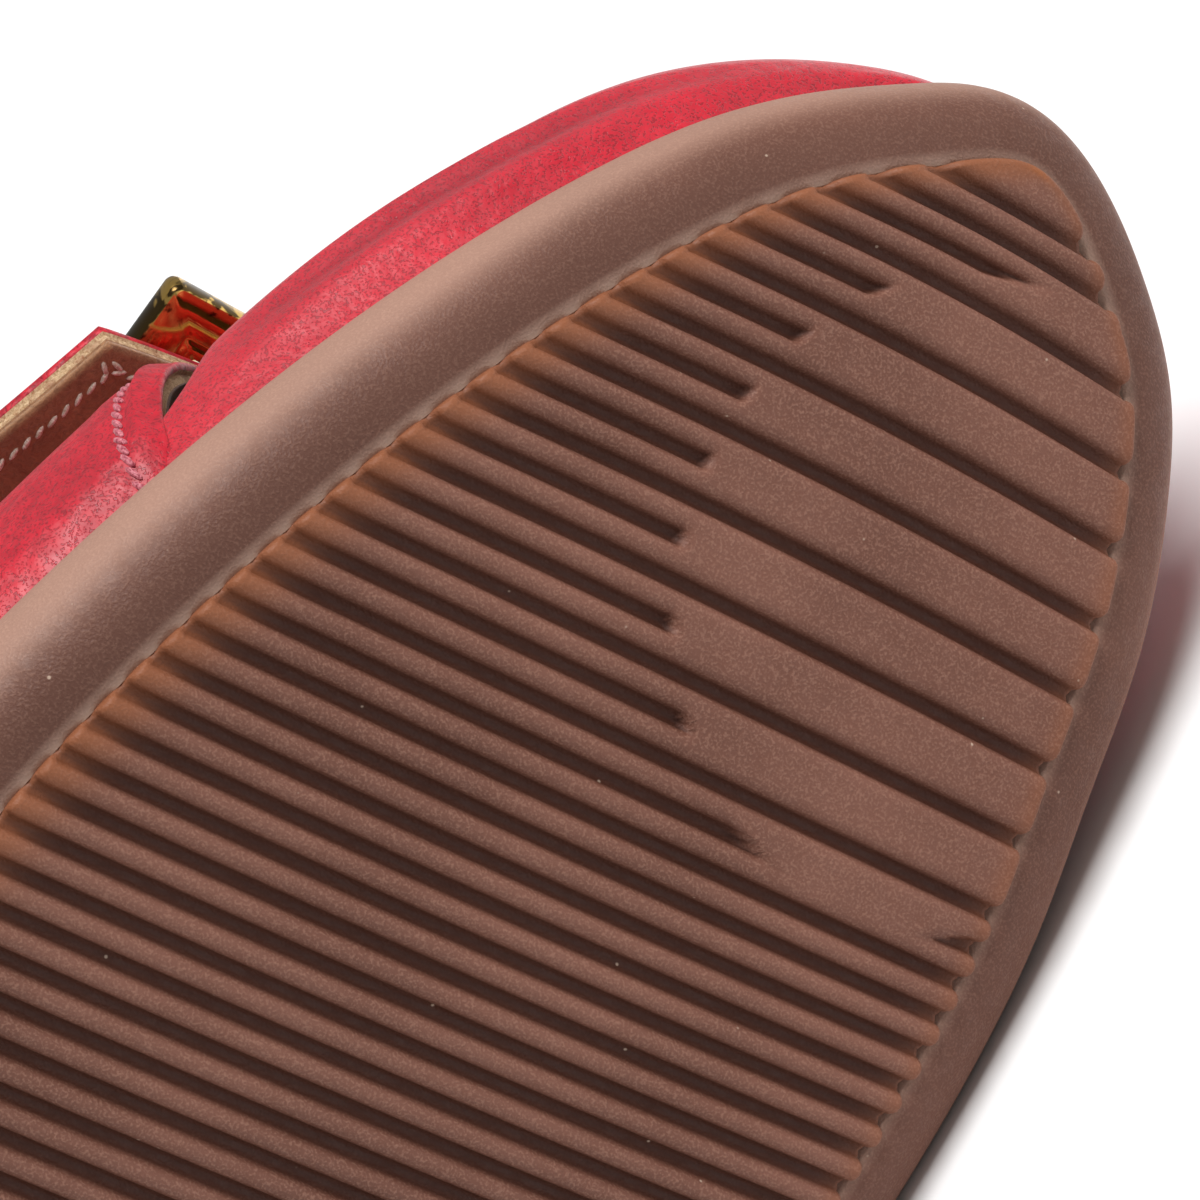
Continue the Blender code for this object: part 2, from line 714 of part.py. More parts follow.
def strap_under(w):
    """Underside of the strap along one line across the shoe; w runs from the front edge to the rear edge."""
    y = BAND_REAR_Y + BAND_WIDTH - w * STRAP_WIDTH
    line = []
    for side, turns in ((MEDIAL, STRAP_MEDIAL), (LATERAL, STRAP_LATERAL)):
        for turn in turns:
            line.append(arch_point(y, side, turn, -quarter_offset(y, rise_at(y, turn)) - GAP))
    start = line[-1]
    lead = (line[-1] - line[-2]).normalized()
    x, _, nx, _ = edge(BAND_REAR_Y + BAND_WIDTH, LATERAL)
    top = line[len(STRAP_MEDIAL)]
    end = Vector((
        x + RIM_WIDTH * nx + STRAP_OVERHANG + STRAP_END_SKEW * w * STRAP_WIDTH,
        y, top.z - STRAP_DROP,
    ))
    bend = start + lead * (end - start).length * STRAP_BEND
    for t in np.linspace(0, 1, STRAP_FREE_STEPS + 1)[1:]:
        t = float(t)
        line.append(start * (1 - t) ** 2 + bend * 2 * t * (1 - t) + end * t * t)
    return line


def strap_sheets():
    """Grids of the strap's underside and top."""
    under = np.array([strap_under(w) for w in np.linspace(0, 1, STRAP_ACROSS)])
    across = np.gradient(under, axis=0)
    along = np.gradient(under, axis=1)
    normal = np.cross(across, along)
    normal /= np.linalg.norm(normal, axis=2)[:, :, None]
    normal *= np.sign(normal[:, :, 2:3])
    share = np.linspace(0, 1, under.shape[1])
    thickness = STRAP_ROOT_THICKNESS + (STRAP_THICKNESS - STRAP_ROOT_THICKNESS) * ease(share / STRAP_WHOLE)
    return under, under + normal * thickness[None, :, None], normal


def make_strap():
    """Thick layered strap, closed over the band, its lateral end free."""
    under, top, _ = strap_sheets()
    rows, count = under.shape[:2]
    points = [Vector(p) for p in under.reshape(-1, 3)] + [Vector(p) for p in top.reshape(-1, 3)]
    size = rows * count
    faces = []
    for i in range(rows - 1):
        for j in range(count - 1):
            quad = [i * count + j, i * count + j + 1, (i + 1) * count + j + 1, (i + 1) * count + j]
            faces.append(quad)
            faces.append([index + size for index in reversed(quad)])
    rim = list(range(count))
    rim += [i * count + count - 1 for i in range(1, rows)]
    rim += [(rows - 1) * count + j for j in range(count - 2, -1, -1)]
    rim += [i * count for i in range(rows - 2, 0, -1)]
    for a, b in zip(rim, rim[1:] + rim[:1]):
        faces.append([a, b, b + size, a + size])
    return new_object("strap", points, faces, new_material("strap_leather", (0.33, 0.01, 0.03), 0.5))


# The buckle's soft edges and its window's corners as shares of its thickness and corner, and the part of the strap
# that carries it, from its middle, as a share of its size
BUCKLE_SOFT = 0.25
WINDOW_CORNER = 0.4
BUCKLE_SUPPORT = 0.6


def rounded_rectangle(length, width, corner, steps=4):
    """Points of a rectangle with round corners."""
    points = []
    for quarter, (sx, sy) in enumerate(((1, 1), (-1, 1), (-1, -1), (1, -1))):
        for step in range(steps + 1):
            angle = (quarter + step / steps) * pi / 2
            points.append((
                sx * (length / 2 - corner) + corner * cos(angle),
                sy * (width / 2 - corner) + corner * sin(angle),
            ))
    return points


def make_buckle():
    """Rectangular frame that lies on the strap, wider than it at the front and the rear."""
    width = STRAP_WIDTH + 2 * BUCKLE_OVERHANG
    soft = BUCKLE_SOFT * BUCKLE_THICKNESS
    inner_corner = WINDOW_CORNER * BUCKLE_CORNER
    window = (BUCKLE_LENGTH - 2 * BUCKLE_BAR, width - 2 * BUCKLE_BAR)
    loops = []
    for level, shrink in ((0.0, 0.0), (BUCKLE_THICKNESS - soft, 0.0), (BUCKLE_THICKNESS, soft)):
        outer = rounded_rectangle(BUCKLE_LENGTH - 2 * shrink, width - 2 * shrink, BUCKLE_CORNER)
        loops.append([(x, y, level) for x, y in outer])
    for level, shrink in ((BUCKLE_THICKNESS, soft / 2), (BUCKLE_THICKNESS - soft / 2, 0.0), (0.0, 0.0)):
        inner = rounded_rectangle(window[0] + 2 * shrink, window[1] + 2 * shrink, inner_corner)
        loops.append([(x, y, level) for x, y in inner])
    count = len(loops[0])
    points = [Vector(p) for loop in loops for p in loop]
    faces = []
    for level in range(len(loops)):
        below = level * count
        above = (level + 1) % len(loops) * count
        for i in range(count):
            j = (i + 1) % count
            faces.append([below + i, below + j, above + j, above + i])
    frame = new_object("buckle", points, faces, new_material("gold_metal", (0.83, 0.60, 0.27), 0.16, 1.0))
    frame.matrix_world = buckle_seat(width)
    return frame


def buckle_seat(width):
    """Place of the buckle: its length along the strap, its underside clear of the strap's top."""
    _, top, normal = strap_sheets()
    middle = top[STRAP_ACROSS // 2]
    steps = np.linalg.norm(np.diff(middle, axis=0), axis=1)
    from_end = np.concatenate([np.cumsum(steps[::-1])[::-1], [0.0]])
    place = BUCKLE_SETBACK + BUCKLE_LENGTH / 2
    centre = Vector([float(np.interp(-place, -from_end, middle[:, axis])) for axis in range(3)])
    near = int(np.argmin(np.abs(from_end - place)))
    across = Vector(top[0, near] - top[-1, near])
    up = Vector(middle[near + 1] - middle[near - 1]).cross(across).normalized()
    along = Matrix.Rotation(radians(BUCKLE_TURN), 3, up) @ (Vector((1, 0, 0)) - up * up.x).normalized()
    across = up.cross(along)
    covered = [Vector(p) - centre for p in top.reshape(-1, 3)]
    covered = [p for p in covered if abs(p.dot(along)) < BUCKLE_SUPPORT * BUCKLE_LENGTH]
    covered = [p for p in covered if abs(p.dot(across)) < BUCKLE_SUPPORT * width]
    lift = max(p.dot(up) for p in covered) + GAP
    turn = Matrix((along, across, up)).transposed()
    return Matrix.Translation(centre + up * lift) @ turn.to_4x4()


def evaluated_solids(pieces):
    """World-space vertices and triangles of the pieces as they are seen."""
    bpy.context.view_layer.update()
    graph = bpy.context.evaluated_depsgraph_get()
    solids = []
    for piece in pieces:
        seen = piece.evaluated_get(graph)
        mesh = seen.to_mesh()
        mesh.calc_loop_triangles()
        points = [seen.matrix_world @ vertex.co for vertex in mesh.vertices]
        solids.append((points, [tuple(t.vertices) for t in mesh.loop_triangles]))
        seen.to_mesh_clear()
    return solids


def centre_of_mass(solids):
    """Centre of all the solids' volume."""
    total = 0.0
    moment = Vector((0, 0, 0))
    for points, triangles in solids:
        for a, b, c in triangles:
            volume = points[a].dot(points[b].cross(points[c])) / 6
            total += volume
            moment += volume * (points[a] + points[b] + points[c]) / 4
    return moment / total


def resting_face(solids):
    """Normal of the hull's face that the shoe lies on, on its medial side and under its centre of mass."""
    work = bmesh.new()
    for points, _ in solids:
        for point in points:
            work.verts.new(point)
    hull = bmesh.ops.convex_hull(work, input=work.verts, use_existing_faces=False)
    centre = centre_of_mass(solids)
    best = None
    for face in (item for item in hull["geom"] if isinstance(item, bmesh.types.BMFace)):
        corners = [vertex.co.copy() for vertex in face.verts]
        normal = (corners[1] - corners[0]).cross(corners[2] - corners[0])
        if normal.length < 1e-12:
            continue
        normal.normalize()
        if normal.dot(corners[0] - centre) < 0:
            normal.negate()
            corners.reverse()
        turns = [
            (b - a).cross(centre - a).dot(normal)
            for a, b in zip(corners, corners[1:] + corners[:1])
        ]
        if min(turns) > 0 and (best is None or normal.x < best.x):
            best = normal
    work.free()
    return best


def lay_down(carrier, pieces):
    """Lay the shoe on its medial side, its toe along +Y, the middle of its box over the origin."""
    solids = evaluated_solids(pieces)
    down = resting_face(solids)
    turn = down.rotation_difference(Vector((0, 0, -1))).to_matrix()
    toe = turn @ Vector((0, 1, 0))
    turn = Matrix.Rotation(pi / 2 - np.arctan2(toe.y, toe.x), 3, "Z") @ turn
    points = [turn @ point for solid, _ in solids for point in solid]
    low = [min(point[axis] for point in points) for axis in range(3)]
    high = [max(point[axis] for point in points) for axis in range(3)]
    shift = Vector((-(low[0] + high[0]) / 2, -(low[1] + high[1]) / 2, -low[2]))
    carrier.matrix_world = Matrix.Translation(shift) @ turn.to_4x4()
    bpy.context.view_layer.update()


def main():
    for old in list(bpy.data.objects):
        bpy.data.objects.remove(old, do_unlink=True)
    outsole, cutters = make_outsole()
    pieces = [outsole, make_upper(), make_insole(), make_strap(), make_buckle()]
    carrier = bpy.data.objects.new("shoe", None)
    bpy.context.scene.collection.objects.link(carrier)
    for piece in pieces + [cutters]:
        piece.parent = carrier
    lay_down(carrier, pieces)


main()
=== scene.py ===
"""Ballet flat, right shoe, lying on its inner side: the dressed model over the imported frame.

Everything is shaped in the upright shoe's own axes, X to its outer side, Y to its toe and Z up from the tread, and
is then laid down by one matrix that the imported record's mount gives.
"""

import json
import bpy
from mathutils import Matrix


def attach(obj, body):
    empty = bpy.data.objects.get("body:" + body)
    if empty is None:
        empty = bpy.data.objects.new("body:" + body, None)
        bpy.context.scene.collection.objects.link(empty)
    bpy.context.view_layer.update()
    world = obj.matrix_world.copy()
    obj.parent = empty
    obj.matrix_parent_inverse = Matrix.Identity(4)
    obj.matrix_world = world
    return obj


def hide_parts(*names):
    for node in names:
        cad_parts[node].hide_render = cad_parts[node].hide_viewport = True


bl_info = {
    "name": "Ballet flat",
    "version": (1, 0, 0),
    "blender": (4, 5, 0),
    "location": "3D View > Sidebar > Ballet flat",
    "description": "Dresses the packed frame of a ballet flat with rubber, leather, stitches and a gold frame buckle",
    "category": "Object",
}

from collections import namedtuple
from math import ceil, cos, floor, pi, radians, sin

import bmesh
import bpy
import numpy as np
from bpy.props import FloatProperty, FloatVectorProperty, IntProperty, PointerProperty
from mathutils import Matrix, Vector
from mathutils.bvhtree import BVHTree

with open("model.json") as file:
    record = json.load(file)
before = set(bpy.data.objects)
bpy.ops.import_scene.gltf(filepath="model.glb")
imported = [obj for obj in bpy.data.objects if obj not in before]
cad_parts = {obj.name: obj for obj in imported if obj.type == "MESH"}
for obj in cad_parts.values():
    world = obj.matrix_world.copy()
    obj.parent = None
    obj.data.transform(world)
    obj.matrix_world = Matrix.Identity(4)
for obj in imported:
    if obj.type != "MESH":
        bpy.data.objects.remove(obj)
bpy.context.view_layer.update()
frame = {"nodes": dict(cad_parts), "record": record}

MM = 0.001
LATERAL = 1
MEDIAL = -1

# The shoe's sizes, in metres
SOLE_LENGTH = 0.2485
BALL_WIDTH = 0.0810
WAIST_WIDTH = 0.0590
HEEL_WIDTH = 0.0608
RIM_WIDTH = 0.0065
RIM_BOW = 0.0060
TREAD_STEP = 0.0011
FOREFOOT_HEIGHT = 0.0104
HEEL_HEIGHT = 0.0160
TOE_SPRING = 0.0142
ARCH_LIFT = 0.0042
LIP_RADIUS = 0.0006
RIB_PITCH = 0.0027
TOE_PAD_RADIUS = 0.0221
HEEL_PAD_RADIUS = 0.0130
SIDE_PAD_RADIUS = 0.0600
UPPER_INSET = 0.0006
VAMP_WALL = 0.0018
QUARTER_WALL = 0.0024
QUARTER_STEP = 0.0016
BAND_LIFT = 0.0008
VAMP_BULGE = 0.0031
QUARTER_BULGE = 0.0016
TOE_BOX_HEIGHT = 0.0198
TOE_ROUND = 0.0175
INSTEP_HEIGHT = 0.0370
ANKLE_HEIGHT = 0.0720
SIDE_HEIGHT = 0.0260
COUNTER_HEIGHT = 0.0440
VAMP_LENGTH = 0.0376
BAND_WIDTH = 0.0280
THROAT_DEPTH = 0.0260
INSOLE_THICKNESS = 0.0025
STRAP_WIDTH = 0.0240
STRAP_THICKNESS = 0.0028
STRAP_ROOT_THICKNESS = 0.0020
STRAP_OVERHANG = 0.0018
STRAP_DROP = 0.0052
STRAP_END_SKEW = 0.36
GAP = 0.0003

# The tread's outline, heel to toe, as shares of the tread's length and of its width at the named place
OutlineRow = namedtuple("OutlineRow", "along width_at lateral medial")
OUTLINE = [OutlineRow(*row) for row in (
    (0.019, HEEL_WIDTH, 0.385, -0.210),
    (0.049, HEEL_WIDTH, 0.515, -0.340),
    (0.100, HEEL_WIDTH, 0.585, -0.410),
    (0.185, HEEL_WIDTH, 0.598, -0.410),
    (0.291, WAIST_WIDTH, 0.612, -0.383),
    (0.397, WAIST_WIDTH, 0.640, -0.385),
    (0.503, BALL_WIDTH, 0.482, -0.318),
    (0.609, BALL_WIDTH, 0.537, -0.402),
    (0.673, BALL_WIDTH, 0.548, -0.442),
    (0.753, BALL_WIDTH, 0.479, -0.471),
    (0.799, BALL_WIDTH, 0.413, -0.475),
    (0.844, BALL_WIDTH, 0.335, -0.466),
    (0.889, BALL_WIDTH, 0.240, -0.459),
    (0.933, BALL_WIDTH, 0.126, -0.426),
    (0.955, BALL_WIDTH, 0.056, -0.396),
    (0.977, BALL_WIDTH, -0.040, -0.335),
    (0.992, BALL_WIDTH, -0.128, -0.275),
)]
HEEL_TIP = 0.088
TOE_TIP = -0.205
BALL_ALONG = 0.673
TOE_SPRING_POWER = 2.06
ARCH_SPAN = (0.26, 0.60)
HEEL_RISE_SPAN = (0.30, 0.62)
FAN_ALONG = 0.150
FAN_BLEND = 0.100

# Groups of grooves, with the round pad that they leave smooth
GrooveGroup = namedtuple("GrooveGroup", "start end pad_across pad_along pad_radius")
FOREFOOT = GrooveGroup(0.560, 0.990, -0.306, 0.875, TOE_PAD_RADIUS)
HEEL = GrooveGroup(0.055, 0.215, 0.060, 0.135, HEEL_PAD_RADIUS)
SIDE_PAD = (1.230, 0.395)

# The arch's crest and the collar over the feather line
HeightRow = namedtuple("HeightRow", "along height")
CREST = [HeightRow(*row) for row in ((0.0, ANKLE_HEIGHT), (0.42, ANKLE_HEIGHT), (0.715, INSTEP_HEIGHT))]
COLLAR = [HeightRow(*row) for row in (
    (0.0, COUNTER_HEIGHT), (0.06, 0.97 * COUNTER_HEIGHT), (0.20, 0.72 * COUNTER_HEIGHT),
    (0.40, SIDE_HEIGHT), (0.60, SIDE_HEIGHT),
)]
VAMP_SQUARE = 0.70
INSTEP_SQUARE = 0.84
TOE_RISE_POWER = 1.25
CREST_SIDE = 0.08
STEP_AT_FOOT = 0.3
STEP_WHOLE = 0.12
LIFT_SPAN = (0.15, 0.45)

# The slot between vamp and band: share of the arch's height, and both edges before the band's rear edge as shares of
# the band's width
SlotRow = namedtuple("SlotRow", "up vamp_edge band_edge")
SLOT = [SlotRow(*row) for row in (
    (0.00, 0.84, 0.83),
    (0.21, 0.90, 0.88),
    (0.34, 1.03, 0.92),
    (0.50, 1.10, 0.965),
    (0.78, 1.125, 0.99),
    (1.00, 1.13, 1.00),
)]

# The strap's turns on the medial side and on the lateral side, and the steps of its free end
STRAP_MEDIAL = (0.42, 0.50, 0.58, 0.67, 0.78, 0.90)
STRAP_LATERAL = (1.0, 0.92, 0.84)
STRAP_FREE_STEPS = 7
STRAP_BEND = 0.55
STRAP_WHOLE = 0.6

TREAD_LENGTH = SOLE_LENGTH - 2 * RIM_WIDTH
TREAD_WIDTH = {width: width - 2 * RIM_WIDTH for width in (HEEL_WIDTH, WAIST_WIDTH, BALL_WIDTH)}
BALL_Y = BALL_ALONG * TREAD_LENGTH


def shoe_to_world():
    """The matrix that lays the upright shoe down, from the heel pad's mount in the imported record."""
    mount = frame["record"]["mounts"][0]
    up = -Vector(mount["axis"]).normalized()
    ahead = Vector((0, up.z, -up.y)).normalized()
    turn = Matrix((ahead.cross(up), ahead, up)).transposed()
    pad = Vector((HEEL.pad_across * TREAD_WIDTH[BALL_WIDTH], HEEL.pad_along * TREAD_LENGTH, 0))
    return Matrix.Translation(Vector(mount["pos_m"]) - turn @ pad) @ turn.to_4x4()


LYING = shoe_to_world()


def lay(points):
    """Points of the upright shoe where they are in the lying one."""
    flat = np.asarray(points, dtype=float).reshape(-1, 3)
    turn = np.array(LYING.to_3x3())
    return (flat @ turn.T + np.array(LYING.translation)).reshape(np.shape(points))


def lay_direction(directions):
    """Directions of the upright shoe as they are in the lying one."""
    return np.asarray(directions, dtype=float) @ np.array(LYING.to_3x3()).T


def ease(t):
    """A soft 0-to-1 step."""
    t = np.clip(t, 0.0, 1.0)
    return t * t * (3 - 2 * t)


def bell(off, reach=1.0):
    """1 at no distance, falling softly on both sides."""
    return np.exp(-(off / reach) ** 2)


def unit(vectors):
    """Vectors at length one."""
    return vectors / np.maximum(np.linalg.norm(vectors, axis=-1, keepdims=True), 1e-12)


def closed_spline(points, per_span=60):
    """A smooth closed curve through points, with as many samples on each span."""
    p = np.array(points, dtype=float)
    n = len(p)
    chord = np.linalg.norm(np.roll(p, -1, axis=0) - p, axis=1)
    before = np.roll(chord, 1)
    system = np.zeros((n, n))
    right = np.zeros((n, 2))
    for i in range(n):
        system[i, i - 1] += chord[i]
        system[i, i] += 2 * (chord[i] + before[i])
        system[i, (i + 1) % n] += before[i]
        ahead = (p[(i + 1) % n] - p[i]) / chord[i]
        behind = (p[i] - p[i - 1]) / before[i]
        right[i] = 3 * (before[i] * ahead + chord[i] * behind)
    tangent = np.linalg.solve(system, right)
    t = np.linspace(0, 1, per_span, endpoint=False)[:, None]
    spans = []
    for i in range(n):
        j = (i + 1) % n
        span = (2 * t**3 - 3 * t**2 + 1) * p[i] + (t**3 - 2 * t**2 + t) * chord[i] * tangent[i]
        span += (-2 * t**3 + 3 * t**2) * p[j] + (t**3 - t**2) * chord[i] * tangent[j]
        spans.append(span)
    return np.vstack(spans)


def split_sides():
    """Tables of x, y and outward normal for the tread's lateral and medial edge, both from heel to toe."""
    loop = [(HEEL_TIP * TREAD_WIDTH[HEEL_WIDTH], 0.0)]
    loop += [(row.lateral * TREAD_WIDTH[row.width_at], row.along * TREAD_LENGTH) for row in OUTLINE]
    loop.append((TOE_TIP * TREAD_WIDTH[BALL_WIDTH], TREAD_LENGTH))
    loop += [(row.medial * TREAD_WIDTH[row.width_at], row.along * TREAD_LENGTH) for row in reversed(OUTLINE)]
    curve = closed_spline(loop)
    ahead = np.roll(curve, -1, axis=0) - np.roll(curve, 1, axis=0)
    normal = unit(np.stack([ahead[:, 1], -ahead[:, 0]], axis=1))
    heel = int(np.argmin(curve[:, 1]))
    curve = np.roll(curve, -heel, axis=0)
    normal = np.roll(normal, -heel, axis=0)
    toe = int(np.argmax(curve[:, 1]))
    lateral = np.hstack([curve[: toe + 1], normal[: toe + 1]])
    medial = np.hstack([curve[toe:], normal[toe:]])
    medial = np.vstack([medial, lateral[:1]])[::-1]
    return {LATERAL: lateral, MEDIAL: medial}


SIDES = split_sides()
HEEL_Y = float(SIDES[LATERAL][0, 1])
TOE_Y = float(SIDES[LATERAL][-1, 1])
BAND_REAR_Y = TOE_Y - VAMP_LENGTH - SLOT[-1].vamp_edge * BAND_WIDTH


def edge(y, side):
    """Tread edge at y on one side: x, y and the outward normal in plan."""
    table = SIDES[side]
    y = np.clip(y, HEEL_Y, TOE_Y)
    x, nx, ny = (np.interp(y, table[:, 1], table[:, column]) for column in (0, 2, 3))
    size = np.hypot(nx, ny)
    return x, y, nx / size, ny / size


def waist_share(y):
    """0 to 1 along the arch of the sole."""
    start, end = (share * TREAD_LENGTH for share in ARCH_SPAN)
    return np.clip((y - start) / (end - start), 0.0, 1.0)


def tread_height(y):
    """Height of the tread's face over the ground of the upright shoe."""
    toe = np.maximum(0.0, (y - BALL_Y) / (TOE_Y - BALL_Y))
    return TOE_SPRING * toe**TOE_SPRING_POWER + ARCH_LIFT * np.sin(pi * waist_share(y)) ** 2


def tread_slope(y):
    """Angle of the tread's face along the shoe."""
    step = TREAD_LENGTH / 2000
    return np.arctan2(tread_height(y + step) - tread_height(y - step), 2 * step)


def sole_height(y):
    """Thickness of the sole over the tread's face."""
    start, end = (share * TREAD_LENGTH for share in HEEL_RISE_SPAN)
    front = ease((y - start) / (end - start))
    level = FOREFOOT_HEIGHT * front + HEEL_HEIGHT * (1 - front)
    return level - ARCH_LIFT * np.sin(pi * waist_share(y)) ** 2


def sole_point(y, side, out, height):
    """Points beside the tread edge at y: out from the edge and height over the tread's face."""
    x, y, nx, ny = edge(y, side)
    slope = tread_slope(y)
    dy = out * ny * np.cos(slope) - height * np.sin(slope)
    dz = out * ny * np.sin(slope) + height * np.cos(slope)
    return np.stack(np.broadcast_arrays(x + out * nx, y + dy, tread_height(y) + dz), axis=-1)


def spring_table():
    """Distance along the tread's face against y, zero at the ball."""
    y = np.linspace(HEEL_Y - RIM_WIDTH, TOE_Y + RIM_WIDTH, 1200)
    steps = np.hypot(np.diff(y), np.diff(tread_height(y)))
    along = np.concatenate([[0.0], np.cumsum(steps)])
    return y, along - float(np.interp(BALL_Y, y, along))


SPRING_Y, SPRING_ALONG = spring_table()


def stations(count):
    """Places along the tread, closer together towards both tips."""
    return HEEL_Y + (TOE_Y - HEEL_Y) * (1 - np.cos(np.linspace(0, pi, count))) / 2


# Angles of the rim's round section in degrees, from under its foot to its lip
RIM_ANGLES = (-96, 31)


def rim_profile(steps):
    """Section of the rim as out and share of the sole's height, from under its foot to its lip."""
    angles = np.radians(np.linspace(*RIM_ANGLES, steps))
    out = RIM_WIDTH - RIM_BOW + RIM_BOW * np.cos(angles)
    share = (TREAD_STEP + RIM_BOW * (1 + np.sin(angles))) / FOREFOOT_HEIGHT
    return out, np.minimum(share, 1 - LIP_RADIUS / (2 * FOREFOOT_HEIGHT))


FEATHER_OUT = float(rim_profile(8)[0][-1])
LIP_OUT = FEATHER_OUT - LIP_RADIUS


def height_along(table, at):
    """Height from a short table at a place along the tread, with soft bends at its rows."""
    at = np.asarray(at, dtype=float)
    value = np.full(at.shape, table[-1].height)
    for row, after in reversed(list(zip(table, table[1:]))):
        inside = row.height + (after.height - row.height) * ease((at - row.along) / (after.along - row.along))
        value = np.where(at <= after.along, inside, value)
    return value


def feather(y, side, inset):
    """Foot of the upper's wall at y: on top of the sole, inset from its lip."""
    return sole_point(y, side, LIP_OUT - UPPER_INSET - inset + LIP_RADIUS, sole_height(y) + GAP)


def crest_rise(y, tip, inset):
    """Height of the arch's crest over the feather line, for a form inset by a wall."""
    toe = 1 - np.minimum(np.maximum(tip - y, 0.0) / (TOE_ROUND - inset), 1.0)
    rise = (TOE_BOX_HEIGHT - inset) * np.sqrt(np.maximum(1 - toe * toe, 0.0))
    start = TOE_Y - TOE_ROUND
    instep_y = CREST[-1].along * TREAD_LENGTH
    ramp = np.maximum(start - y, 0.0) / (start - instep_y)
    front = rise + (INSTEP_HEIGHT - TOE_BOX_HEIGHT) * ramp**TOE_RISE_POWER
    return np.where(y >= instep_y, front, height_along(CREST, y / TREAD_LENGTH) - inset)


def crest(y, inset):
    """Middle of the arch at y; behind the fan point all arches share one middle."""
    lateral = feather(y, LATERAL, inset)
    medial = feather(y, MEDIAL, inset)
    middle = (lateral + medial) / 2
    tip = feather(np.array(TOE_Y), LATERAL, inset)[..., 1]
    height = middle[..., 2] + crest_rise(middle[..., 1], tip, inset)
    fan = FAN_ALONG * TREAD_LENGTH
    at_fan = (feather(np.array(fan), LATERAL, inset) + feather(np.array(fan), MEDIAL, inset)) / 2
    shift = CREST_SIDE * (lateral - medial)[..., 0] * ease((y - fan) / (FAN_BLEND * TREAD_LENGTH))
    x = np.where(y < fan, at_fan[..., 0], middle[..., 0] - shift)
    return np.stack([x, np.where(y < fan, at_fan[..., 1], middle[..., 1]), height], axis=-1)


def vamp_share(y):
    """1 over the toes, falling softly to 0 at the band's rear edge."""
    return ease((y - BAND_REAR_Y) / (TOE_Y - TOE_ROUND - BAND_REAR_Y))


def square(y):
    """Exponent of the arch's section: fuller over the toes, rounder over the instep."""
    share = vamp_share(y)
    return VAMP_SQUARE * share + INSTEP_SQUARE * (1 - share)


def rise_at(y, turn):
    """Share of the arch's height at a turn."""
    return np.maximum(np.sin(turn * pi / 2), 0.0) ** square(y)


def arch_point(y, side, turn, inset):
    """Points of the upper's form: turn runs from 0 at the feather line to 1 at the crest."""
    y, turn, inset = np.broadcast_arrays(y, turn, inset)
    foot = feather(y, side, inset)
    top = crest(y, inset)
    inward = 1 - np.maximum(np.cos(turn * pi / 2), 0.0) ** square(y)
    up = rise_at(y, turn)
    _, _, nx, ny = edge(y, side)
    rise = top[..., 2] - foot[..., 2]
    bulge = VAMP_BULGE * vamp_share(y) + QUARTER_BULGE * (1 - vamp_share(y))
    swell = bulge * 4 * up * (1 - up) * np.minimum(rise / TOE_BOX_HEIGHT, 1.0)
    return np.stack([
        foot[..., 0] + (top - foot)[..., 0] * inward + nx * swell,
        foot[..., 1] + (top - foot)[..., 1] * inward + ny * swell,
        foot[..., 2] + rise * up,
    ], axis=-1)


def turn_for(y, share):
    """Turn at which the arch has risen by a share of its height."""
    return np.arcsin(np.clip(share, 0.0, 1.0) ** (1 / square(y))) * 2 / pi


def collar_turn(y):
    """Turn of the collar's edge at y, from the crest at the band's rear edge down to the sides."""
    behind = np.maximum(BAND_REAR_Y - y, 0.0)
    rise = (crest(y, 0.0) - feather(y, LATERAL, 0.0))[..., 2]
    side = turn_for(y, height_along(COLLAR, y / TREAD_LENGTH) / rise)
    across = np.sqrt(np.maximum(1 - (1 - np.minimum(behind / THROAT_DEPTH, 1.0)) ** 2, 0.0))
    reach = np.cos(side * pi / 2) ** square(y) * across
    return np.where(behind >= THROAT_DEPTH, side, np.arccos(reach ** (1 / square(y))) * 2 / pi)


def slot_edge(up, column):
    """The y of the vamp's or the band's edge at a share of the arch's height."""
    shares = [row.up for row in SLOT]
    return BAND_REAR_Y + BAND_WIDTH * np.interp(up, shares, [getattr(row, column) for row in SLOT])


def quarter_offset(y, up):
    """How far the quarter and band stand outside the vamp's form."""
    step = QUARTER_STEP * (STEP_AT_FOOT + (1 - STEP_AT_FOOT) * ease(up / STEP_WHOLE))
    behind = (slot_edge(up, "band_edge") - y) / (BAND_WIDTH + THROAT_DEPTH)
    start, end = LIFT_SPAN
    return step + BAND_LIFT * ease((up - start) / (end - start)) * (1 - ease(behind))


# Points count as equal at the same step: steps to a metre
WELD_STEPS = 1e7


def same_points(points):
    """For points that may repeat: the first index of each place, and the number of each point's place."""
    steps = np.round(points * WELD_STEPS).astype(np.int64)
    _, first, place = np.unique(steps, axis=0, return_index=True, return_inverse=True)
    return first, place.reshape(-1)


def weld(points, quads):
    """Merges equal points. Returns points, quads and the first old index of each new point."""
    first, place = same_points(points)
    return points[first], place[quads], first


def point_normals(points, quads):
    """Normals of the points of a mesh of quads, some of which may be folded to triangles."""
    a, b, c, d = (points[quads[:, i]] for i in range(4))
    across = np.cross(c - a, d - b)
    normals = np.zeros_like(points)
    for i in range(4):
        np.add.at(normals, quads[:, i], across)
    return unit(normals)


def grid_quads(rows, columns, start=0):
    """Quads of a grid whose points lie row by row."""
    i, j = np.meshgrid(np.arange(rows - 1), np.arange(columns - 1), indexing="ij")
    low = start + (i * columns + j).ravel()
    return np.stack([low, low + 1, low + columns + 1, low + columns], axis=1)


def ring_quads(rows, columns):
    """Quads of a grid whose last column also meets its first."""
    low = np.arange(rows - 1) * columns
    closing = np.stack([low + columns - 1, low, low + columns, low + 2 * columns - 1], axis=1)
    return np.vstack([grid_quads(rows, columns), closing])


